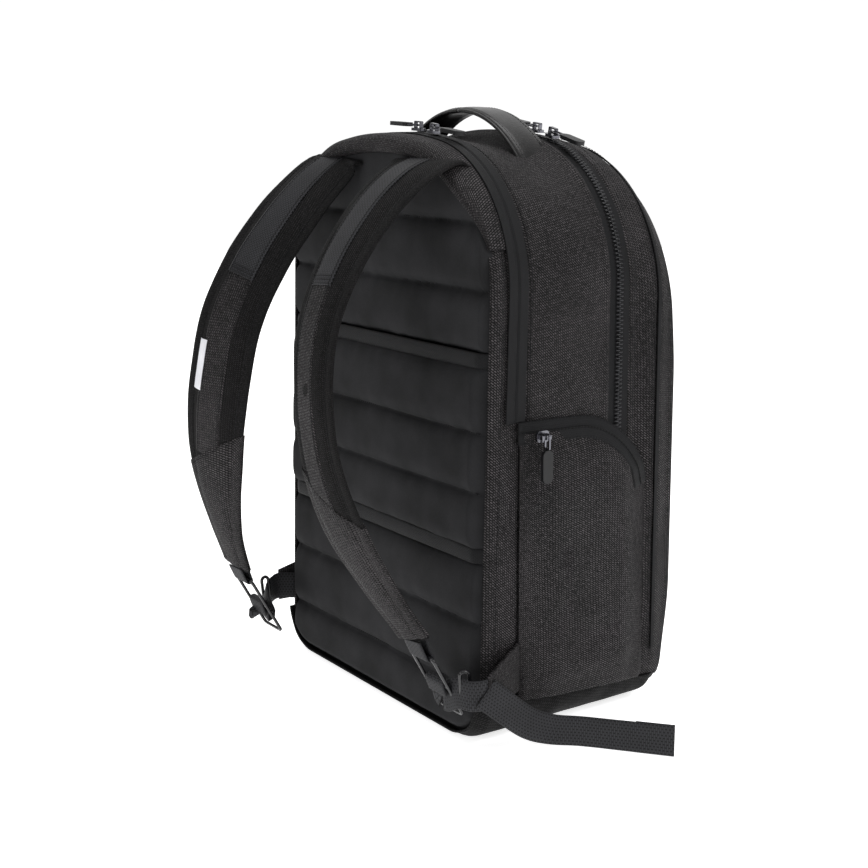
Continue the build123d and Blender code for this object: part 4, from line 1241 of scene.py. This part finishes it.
def build_straps(sizes):
    """Padded shoulder straps with bound edges, stitched facing webbing and lower panels."""
    for side, sign in (("left", -1), ("right", 1)):
        points = [Vector((sign * x, y, z)) * MM for x, y, z, lean in STRAPS[side]]
        sides = [(cos(radians(lean)), sign * sin(radians(lean)), 0) for x, y, z, lean in STRAPS[side]]
        ribbon = Ribbon(points, sides, 160)
        body = (
            "bag",
            f"{side}_strap",
            (sign * 68 * MM, 84 * MM, 464 * MM),
            (sign * 72 * MM, 128 * MM, 442 * MM),
        )
        count = 56

        def place(u, v, ribbon=ribbon):
            width, thick = strap_sizes(v, sizes)
            k = int(round(u * count)) % count
            half = count // 2
            if k < half:
                x = -cos(pi * k / half)
                lift = strap_section(width, thick, x)
            else:
                x = cos(pi * (k - half) / half)
                lift = -strap_section(width, thick, x) * 0.9
            if abs(x) > 0.9995:
                lift = 0.0
            spot = ribbon.at(v, x * width / 2, 0)
            swell = 0.9 * MM * ripple(spot, 0.045, 21) * (1 - abs(x) ** 4)
            return ribbon.at(v, x * width / 2, lift + (swell if lift > 0 else -swell * 0.5))

        size = (2 * sizes.strap_width, ribbon.length)
        pad = sheet_piece(f"{side}_strap_cover", 220, count, place, size, wrap=True)
        close_ends(pad)
        finish_piece(pad, body, MATERIALS["strap_cloth"], (f"{side}_strap_pad",))

        probe = ribbon.at(0.5, 0, 1 * MM) - ribbon.at(0.5)
        up = 1 if probe.y > 0 else -1
        for edge, way in (("inner", 1), ("outer", -1)):
            frames = []
            number = int(ribbon.length / (3.4 * MM))
            for i in range(number):
                t = (i + 0.5) / number
                width, thick = strap_sizes(t, sizes)
                x = way * (width / 2 - 8.0 * MM)
                here = ribbon.at(t, x, up * (2.4 * MM + 0.15 * MM))
                along = (ribbon.at(t + 0.005, x) - ribbon.at(t - 0.005, x)).normalized()
                out = (ribbon.at(t, x, up * 2 * MM) - ribbon.at(t, x)).normalized()
                frames.append((here, along, out.cross(along), out))
            stitches(f"{side}_strap_stitch_{edge}", frames, body)

        shift = 4 * MM
        # Name, start and end along the strap, width, finish and height off the cover in millimetres.
        pieces = (
            ("band", 0.02, 0.335, 30 * MM, "polyester_webbing", 1.3),
            ("strip", 0.30, 0.715, 29 * MM, "ballistic_nylon", 0.5),
        )
        for label, start, end, wide, finish, high in pieces:

            def facing_place(u, v, ribbon=ribbon, up=up, start=start, end=end, wide=wide, high=high):
                t = start + (end - start) * v
                width, thick = strap_sizes(t, sizes)
                x = (u - 0.5) * wide + shift
                edge = 0.6 * MM * smooth(abs(u - 0.5), 0.44, 0.5)
                return ribbon.at(t, x, up * (strap_section(width, thick, 2 * x / width) + high * MM - edge))

            size = (wide, (end - start) * ribbon.length)
            cloth = sheet_piece(
                f"{side}_strap_{label}", 110, 16, facing_place, size, thickness=1.2 * MM, flip=up < 0
            )
            replaced = (f"{side}_strap_facing",) if label == "band" else ()
            finish_piece(cloth, body, MATERIALS[finish], replaced)
            for edge, way in (("inner", 1), ("outer", -1)):
                frames = []
                number = int(size[1] / (3.0 * MM))
                for i in range(number):
                    t = start + (end - start) * (i + 0.5) / number
                    x = way * (wide / 2 - 2.6 * MM) + shift
                    frames.append(strap_frame(ribbon, t, x, up, sizes, high * MM + 0.1 * MM))
                stitches(f"{side}_{label}_stitch_{edge}", frames, body)
        frames = []
        for t in (0.318, 0.325, 0.332):
            for i in range(11):
                x = (i - 5) * 2.3 * MM + shift
                here, along, across, out = strap_frame(ribbon, t, x, up, sizes, 1.5 * MM)
                frames.append((here, across, along, out))
        stitches(f"{side}_band_bartack", frames, body, length=2.4 * MM)

        # The lower third is cased in shell cloth, joined by a slanting seam.
        def lower_place(u, v, ribbon=ribbon, sign=sign):
            k = int(round(u * count)) % count
            half = count // 2
            front = k < half
            x = -cos(pi * k / half) if front else cos(pi * (k - half) / half)
            start = 0.70 + 0.055 * x * sign * up
            t = start + (0.995 - start) * v
            width, thick = strap_sizes(t, sizes)
            lift = strap_section(width, thick, x) * (1 if front else -0.9)
            proud = 0.7 * MM
            lift = lift + (proud if front else -proud)
            return ribbon.at(t, x * (width / 2 + proud), lift)

        size = (2 * sizes.strap_width, 0.3 * ribbon.length)
        casing = sheet_piece(f"{side}_strap_casing", 110, count, lower_place, size, wrap=True)
        close_ends(casing)
        finish_piece(casing, f"{side}_strap", MATERIALS["ballistic_nylon"])
        frames = []
        for i in range(22):
            x = (i / 21 * 2 - 1) * 0.92
            t = 0.70 + 0.055 * x * sign * up + 0.008
            width, thick = strap_sizes(t, sizes)
            here, along, across, out = strap_frame(ribbon, t, x * width / 2, up, sizes, 0.9 * MM)
            frames.append((here, across, along, out))
        stitches(f"{side}_casing_stitch", frames, f"{side}_strap")

        if side == "right":

            def label_place(u, v, ribbon=ribbon, up=up):
                t = 0.475 + 0.105 * v
                width, thick = strap_sizes(t, sizes)
                x = label_side * (width / 2 - 9 * MM - 9.5 * MM * u)
                return ribbon.at(t, x, up * (strap_section(width, thick, 2 * x / width) + 0.9 * MM))

            label_side = 1 if ribbon.at(0.4, 5 * MM).x > ribbon.at(0.4, 0).x else -1
            label = sheet_piece(
                "strap_label",
                40,
                10,
                label_place,
                (10 * MM, 45 * MM),
                thickness=0.5 * MM,
                flip=up * label_side < 0,
            )
            finish_piece(label, body, MATERIALS["woven_label"])


def strap_frame(ribbon, t, x, up, sizes, proud):
    """Place and directions (along, across, out) on a strap's outer face at x across it."""
    width, thick = strap_sizes(t, sizes)
    here = ribbon.at(t, x, up * (strap_section(width, thick, 2 * x / width) + proud))
    along = (ribbon.at(t + 0.005, x) - ribbon.at(t - 0.005, x)).normalized()
    out = (ribbon.at(t, x, up * 2 * MM) - ribbon.at(t, x)).normalized()
    return here, along, out.cross(along), out


# ---------------------------------------------------------------- buckles, loops and anchor webbing
def rounded_rectangle(width, height, corner, per_corner=5):
    """Corner points of a rounded rectangle in its own plane, one way round."""
    result = []
    for cx, cy, start in (
        (width / 2 - corner, height / 2 - corner, 0),
        (-width / 2 + corner, height / 2 - corner, pi / 2),
        (-width / 2 + corner, -height / 2 + corner, pi),
        (width / 2 - corner, -height / 2 + corner, 3 * pi / 2),
    ):
        for i in range(per_corner + 1):
            angle = start + pi / 2 * i / per_corner
            result.append((cx + corner * cos(angle), cy + corner * sin(angle)))
    return result


def build_hardware():
    """Wire buckles, keeper rings, strap end loops, anchor wings, anchor webbing and the free tail."""
    tilt = radians(29)
    up_dir = Vector((0, sin(tilt), cos(tilt)))
    wire = 1.45 * MM
    for side, sign in (("left", -1), ("right", 1)):
        low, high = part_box(f"{side}_buckle")
        middle = (low + high) / 2
        width = high.x - low.x - 2 * wire
        length = (high.z - low.z) / cos(tilt) - 2 * wire - 1 * MM
        ring = [
            middle + Vector((x, 0, 0)) + up_dir * y for x, y in rounded_rectangle(width, length, 4 * MM)
        ]
        frame_wire = tube(f"{side}_buckle_frame", ring, wire, closed=True, sides=12)
        bar = tube(
            f"{side}_buckle_bar",
            [middle + Vector((width * (i / 6 - 0.5), 0, 0)) for i in range(7)],
            wire * 0.95,
            sides=12,
        )
        painted = MATERIALS["painted_wire"]
        finish_piece(frame_wire, f"{side}_buckle_body", painted, (f"{side}_buckle",))
        finish_piece(bar, f"{side}_buckle_body", MATERIALS["painted_wire"])

        # Strap end loop: webbing round the top bar, both layers sewn into the strap's end.
        top_bar = middle + up_dir * (length / 2)
        end_x, end_y, end_z, _ = STRAPS[side][-1]
        end = Vector((sign * end_x, end_y, end_z)) * MM
        run = (top_bar - end).normalized()
        off = Vector((0, run.z, -run.y)).normalized()
        if off.y < 0:
            off = -off
        loop = [end + off * 3.2 * MM, end.lerp(top_bar, 0.5) + off * 3.0 * MM]
        for i in range(9):
            angle = pi * i / 8
            loop.append(top_bar + off * cos(angle) * 2.6 * MM + run * sin(angle) * 2.6 * MM)
        loop += [end.lerp(top_bar, 0.5) - off * 3.0 * MM, end - off * 3.4 * MM]
        ribbon = Ribbon(loop, [(1, 0, 0)] * len(loop), 60)
        webbing = band(f"{side}_end_loop", ribbon, 25 * MM, 1.5 * MM, lift=-0.75 * MM, step=0.5 * MM)
        finish_piece(
            webbing, f"{side}_strap", MATERIALS["polyester_webbing"], (f"{side}_strap_end_loop",)
        )

        # Anchor wing: two layers of shell cloth, sewn into the side seam.
        wlow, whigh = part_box(f"{side}_anchor_wing")
        start = Vector((sign * (HALF_W + 1 * MM), 58 * MM, 0))
        tip = Vector((sign * (whigh.x if sign > 0 else -wlow.x) - sign * 1 * MM, 97 * MM, 0))

        def wing_place(u, v, start=start, tip=tip, sign=sign):
            low_z = 44 * MM + (40 * MM - 44 * MM) * u
            high_z = 84 * MM + (69 * MM - 84 * MM) * u
            z = low_z + (high_z - low_z) * v
            here = start.lerp(tip, u)
            bow = 2 * MM * sin(pi * u) * sin(pi * v)
            return Vector((here.x + sign * bow, here.y, z))

        size = (45 * MM, 62 * MM)
        wing = sheet_piece(f"{side}_wing", 24, 18, wing_place, size, thickness=2.4 * MM, flip=sign > 0)
        finish_piece(wing, "bag", MATERIALS["ballistic_nylon"], (f"{side}_anchor_wing",))

        # Anchor webbing: from the wing's tip, turning flat to pass up through the buckle.
        mid_bar = middle
        reach = (mid_bar.y - 0.1155) * 0.5
        route = [
            Vector((sign * 160, 84, 54)) * MM,
            Vector((sign * 168, 97, 54)) * MM,
            Vector((sign * 163, 108, 53)) * MM,
            Vector((sign * 148 * MM, 112 * MM + reach, 52 * MM)),
            mid_bar + Vector((sign * 2 * MM, -4 * MM, -12 * MM)),
            mid_bar + Vector((0, -3.0 * MM, 3 * MM)),
            mid_bar + Vector((0, 2.6 * MM, 2.2 * MM)),
            mid_bar + Vector((0, -1.0 * MM, -9 * MM)),
        ]
        across = [
            (0, 0, 1),
            (0, 0, 1),
            (0, 0, 1),
            (-sign * 0.35, 0, 0.9),
            (-sign * 0.95, 0, 0.3),
            (-sign * 1, 0, 0),
            (-sign * 1, 0, 0),
            (-sign * 1, 0, 0),
        ]
        ribbon = Ribbon(route, across, 90)
        anchor = band(f"{side}_anchor_band", ribbon, 25 * MM, 1.5 * MM, lift=-0.75 * MM, step=0.5 * MM)
        finish_piece(
            anchor,
            (
                "bag",
                f"{side}_strap",
                (sign * 165 * MM, 98 * MM, 54 * MM),
                (sign * 138 * MM, 112 * MM, 54 * MM),
            ),
            MATERIALS["polyester_webbing"],
            (f"{side}_anchor_webbing",),
        )

        klow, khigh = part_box(f"{side}_keeper_ring")
        centre = (klow + khigh) / 2
        centre += Vector((sign * 4 * MM, 6 * MM, 0))
        long_dir = Vector((0, 0.1, 1)).normalized()
        thin_dir = Vector((-sign * 0.25, 1, 0)).normalized()
        ring = [centre + long_dir * x + thin_dir * y for x, y in rounded_rectangle(31 * MM, 8 * MM, 3.8 * MM)]
        keeper = tube(f"{side}_keeper", ring, 1.5 * MM, closed=True, sides=12)
        finish_piece(keeper, "bag", MATERIALS["painted_wire"], (f"{side}_keeper_ring",))

    # The free tail falls from the left anchor and stands on its edge along the floor.
    route = [
        Vector(p) * MM
        for p in (
            (-169, 100, 56),
            (-172, 84, 42),
            (-174, 62, 24),
            (-178, 42, 15),
            (-192, 22, 13.2),
            (-216, 2, 13.2),
            (-249, -25, 13.2),
        )
    ]
    across = [(0, -0.25, 1), (0, -0.2, 1), (0, -0.1, 1), (0, 0, 1), (0, 0, 1), (0.05, 0, 1), (0.08, 0, 1)]
    ribbon = Ribbon(route, across, 120)
    tail = band("left_tail_band", ribbon, 25.5 * MM, 1.5 * MM, lift=-0.75 * MM)
    finish_piece(tail, "left_tail", MATERIALS["polyester_webbing"], ("left_webbing_tail",))
    hem = band("left_tail_hem", ribbon, 25.5 * MM, 1.4 * MM, start=0.82, end=0.999, lift=0.8 * MM)
    finish_piece(hem, "left_tail", MATERIALS["polyester_webbing"])
    frames = []
    for t in (0.83, 0.985):
        for i in range(9):
            here = ribbon.at(t, (i - 4) * 2.6 * MM, 2.2 * MM)
            across_dir = (ribbon.at(t, 1 * MM) - ribbon.at(t)).normalized()
            out = (ribbon.at(t, 0, 1 * MM) - ribbon.at(t)).normalized()
            frames.append((here, across_dir, out.cross(across_dir), out))
    stitches("left_tail_bartack", frames, "left_tail")


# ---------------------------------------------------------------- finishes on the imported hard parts
def paint_hard_parts():
    """Sliders, links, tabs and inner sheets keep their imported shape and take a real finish."""
    for name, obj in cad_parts.items():
        if obj.hide_render:
            continue
        if name.endswith("slider") or name.endswith("link"):
            finish = "black_nickel_plate"
        elif name.endswith("tab"):
            finish = "moulded_rubber"
        elif name in ("back_stiffener_sheet", "base_board"):
            finish = "polythene_sheet"
        elif name == "laptop_divider":
            finish = "lining_cloth"
        elif "zip" in name:
            finish = "zip_tape_cloth"
        else:
            finish = "ballistic_nylon"
        obj.data.materials.clear()
        obj.data.materials.append(MATERIALS[finish])


# ---------------------------------------------------------------- stage
def build_stage():
    """Pale floor, white backdrop, soft studio light and the camera."""
    yaw, pitch, roll = radians(-34.32), radians(12.18), radians(-0.40)
    deselect()
    bpy.ops.mesh.primitive_plane_add(size=12, location=(0, 0, 0))
    floor = bpy.context.object
    floor.name = "floor"
    material, _, shader = new_material("paper_sweep", 0.9)
    shader.inputs["Base Color"].default_value = (0.95, 0.95, 0.95, 1)
    shader.inputs["Emission Color"].default_value = (1, 1, 1, 1)
    shader.inputs["Emission Strength"].default_value = 0.78
    floor.data.materials.append(material)
    deselect()
    bpy.ops.mesh.primitive_plane_add(size=1, location=(0, 0, 0))
    backdrop = bpy.context.object
    backdrop.name = "backdrop"
    facing = Vector((cos(yaw), sin(yaw), 0))
    aside = facing.cross(Vector((0, 0, 1)))
    for vertex in backdrop.data.vertices:
        vertex.co = facing * 4.2 + aside * vertex.co.x * 12 + Vector((0, 0, (vertex.co.y + 0.5) * 6))
    paper, _, shader = new_material("lit_paper", 0.9)
    shader.inputs["Base Color"].default_value = (0, 0, 0, 1)
    shader.inputs["Emission Color"].default_value = (1, 1, 1, 1)
    shader.inputs["Emission Strength"].default_value = 1.02
    backdrop.data.materials.append(paper)
    world = bpy.context.scene.world or bpy.data.worlds.new("studio")
    bpy.context.scene.world = world
    world.use_nodes = True
    background = world.node_tree.nodes["Background"]
    background.inputs["Color"].default_value = (1, 1, 1, 1)
    background.inputs["Strength"].default_value = 0.3
    lights = (
        ("key_light", (-2.2, -1.0, 2.2), 1.0, 34),
        ("fill_light", (-0.9, 2.6, 1.8), 1.4, 19),
        ("top_light", (0.2, -0.2, 3.0), 1.6, 36),
    )
    for name, place, size, power in lights:
        light = bpy.data.lights.new(name, "AREA")
        light.energy = power
        light.size = size
        obj = bpy.data.objects.new(name, light)
        bpy.context.scene.collection.objects.link(obj)
        obj.location = place
        aim = Vector((0, 0, 0.25)) - Vector(place)
        obj.rotation_euler = aim.to_track_quat("-Z", "Y").to_euler()
    camera_data = bpy.data.cameras.new("camera")
    camera_data.lens = 62.2
    camera_data.sensor_width = 36
    camera = bpy.data.objects.new("camera", camera_data)
    bpy.context.scene.collection.objects.link(camera)
    look = Vector((cos(yaw) * cos(pitch), sin(yaw) * cos(pitch), -sin(pitch)))
    right = look.cross(Vector((0, 0, 1))).normalized()
    up = right.cross(look)
    right, up = right * cos(roll) + up * sin(roll), up * cos(roll) - right * sin(roll)
    turn = Matrix((right, up, -look)).transposed()
    camera.matrix_world = Matrix.Translation(Vector((-1.049, 0.747, 0.497))) @ turn.to_4x4()
    bpy.context.scene.camera = camera
    bpy.context.scene.view_settings.view_transform = "Standard"


# ---------------------------------------------------------------- add-on
class BACKPACK_OT_materials(bpy.types.Operator):
    """Make every finish on the pack"""

    bl_idname = "backpack.materials"
    bl_label = "Materials"

    def execute(self, context):
        make_materials(context.scene.backpack_look)
        return {"FINISHED"}


class BACKPACK_OT_shell(bpy.types.Operator):
    """Build the shell, front panel and base"""

    bl_idname = "backpack.shell"
    bl_label = "Shell and base"

    def execute(self, context):
        build_shell()
        return {"FINISHED"}


class BACKPACK_OT_quilt(bpy.types.Operator):
    """Build the quilted back and the luggage sleeve"""

    bl_idname = "backpack.quilt"
    bl_label = "Quilted back"

    def execute(self, context):
        build_quilt(context.scene.backpack_sizes)
        build_brow()
        return {"FINISHED"}


class BACKPACK_OT_zips(bpy.types.Operator):
    """Build the arched zips, seams and stitching"""

    bl_idname = "backpack.zips"
    bl_label = "Zips and seams"

    def execute(self, context):
        build_zips()
        return {"FINISHED"}


class BACKPACK_OT_pockets(bpy.types.Operator):
    """Build the side pockets and the front pocket"""

    bl_idname = "backpack.pockets"
    bl_label = "Pockets"

    def execute(self, context):
        build_pockets()
        return {"FINISHED"}


class BACKPACK_OT_handle(bpy.types.Operator):
    """Build the leather handle"""

    bl_idname = "backpack.handle"
    bl_label = "Handle"

    def execute(self, context):
        build_handle()
        return {"FINISHED"}


class BACKPACK_OT_straps(bpy.types.Operator):
    """Build the padded shoulder straps"""

    bl_idname = "backpack.straps"
    bl_label = "Shoulder straps"

    def execute(self, context):
        build_straps(context.scene.backpack_sizes)
        return {"FINISHED"}


class BACKPACK_OT_hardware(bpy.types.Operator):
    """Build the buckles, loops, wings and webbing"""

    bl_idname = "backpack.hardware"
    bl_label = "Buckles and webbing"

    def execute(self, context):
        build_hardware()
        return {"FINISHED"}


class BACKPACK_OT_hard_parts(bpy.types.Operator):
    """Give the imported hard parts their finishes"""

    bl_idname = "backpack.hard_parts"
    bl_label = "Sliders and pulls"

    def execute(self, context):
        paint_hard_parts()
        return {"FINISHED"}


class BACKPACK_OT_stage(bpy.types.Operator):
    """Build the floor, the lights and the camera"""

    bl_idname = "backpack.stage"
    bl_label = "Stage"

    def execute(self, context):
        build_stage()
        return {"FINISHED"}


OPERATORS = (
    BACKPACK_OT_materials,
    BACKPACK_OT_shell,
    BACKPACK_OT_quilt,
    BACKPACK_OT_zips,
    BACKPACK_OT_pockets,
    BACKPACK_OT_handle,
    BACKPACK_OT_straps,
    BACKPACK_OT_hardware,
    BACKPACK_OT_hard_parts,
    BACKPACK_OT_stage,
)


class BACKPACK_PT_panel(bpy.types.Panel):
    """Sidebar panel with the sizes, colours and building steps"""

    bl_idname = "BACKPACK_PT_panel"
    bl_label = "School backpack"
    bl_space_type = "VIEW_3D"
    bl_region_type = "UI"
    bl_category = "Backpack"

    def draw(self, context):
        for group in (context.scene.backpack_look, context.scene.backpack_sizes):
            for name in group.bl_rna.properties.keys():
                if name not in ("rna_type", "name"):
                    self.layout.prop(group, name)
        for operator in OPERATORS:
            self.layout.operator(operator.bl_idname)


CLASSES = (BackpackLook, BackpackSizes) + OPERATORS + (BACKPACK_PT_panel,)


def register():
    for item in CLASSES:
        bpy.utils.register_class(item)
    bpy.types.Scene.backpack_look = bpy.props.PointerProperty(type=BackpackLook)
    bpy.types.Scene.backpack_sizes = bpy.props.PointerProperty(type=BackpackSizes)


def unregister():
    del bpy.types.Scene.backpack_sizes
    del bpy.types.Scene.backpack_look
    for item in reversed(CLASSES):
        bpy.utils.unregister_class(item)


def main():
    register()
    bpy.ops.backpack.materials()
    bpy.ops.backpack.shell()
    bpy.ops.backpack.quilt()
    bpy.ops.backpack.zips()
    bpy.ops.backpack.pockets()
    bpy.ops.backpack.handle()
    bpy.ops.backpack.straps()
    bpy.ops.backpack.hardware()
    bpy.ops.backpack.hard_parts()
    bpy.ops.backpack.stage()
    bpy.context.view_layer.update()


if __name__ == "__main__":
    main()
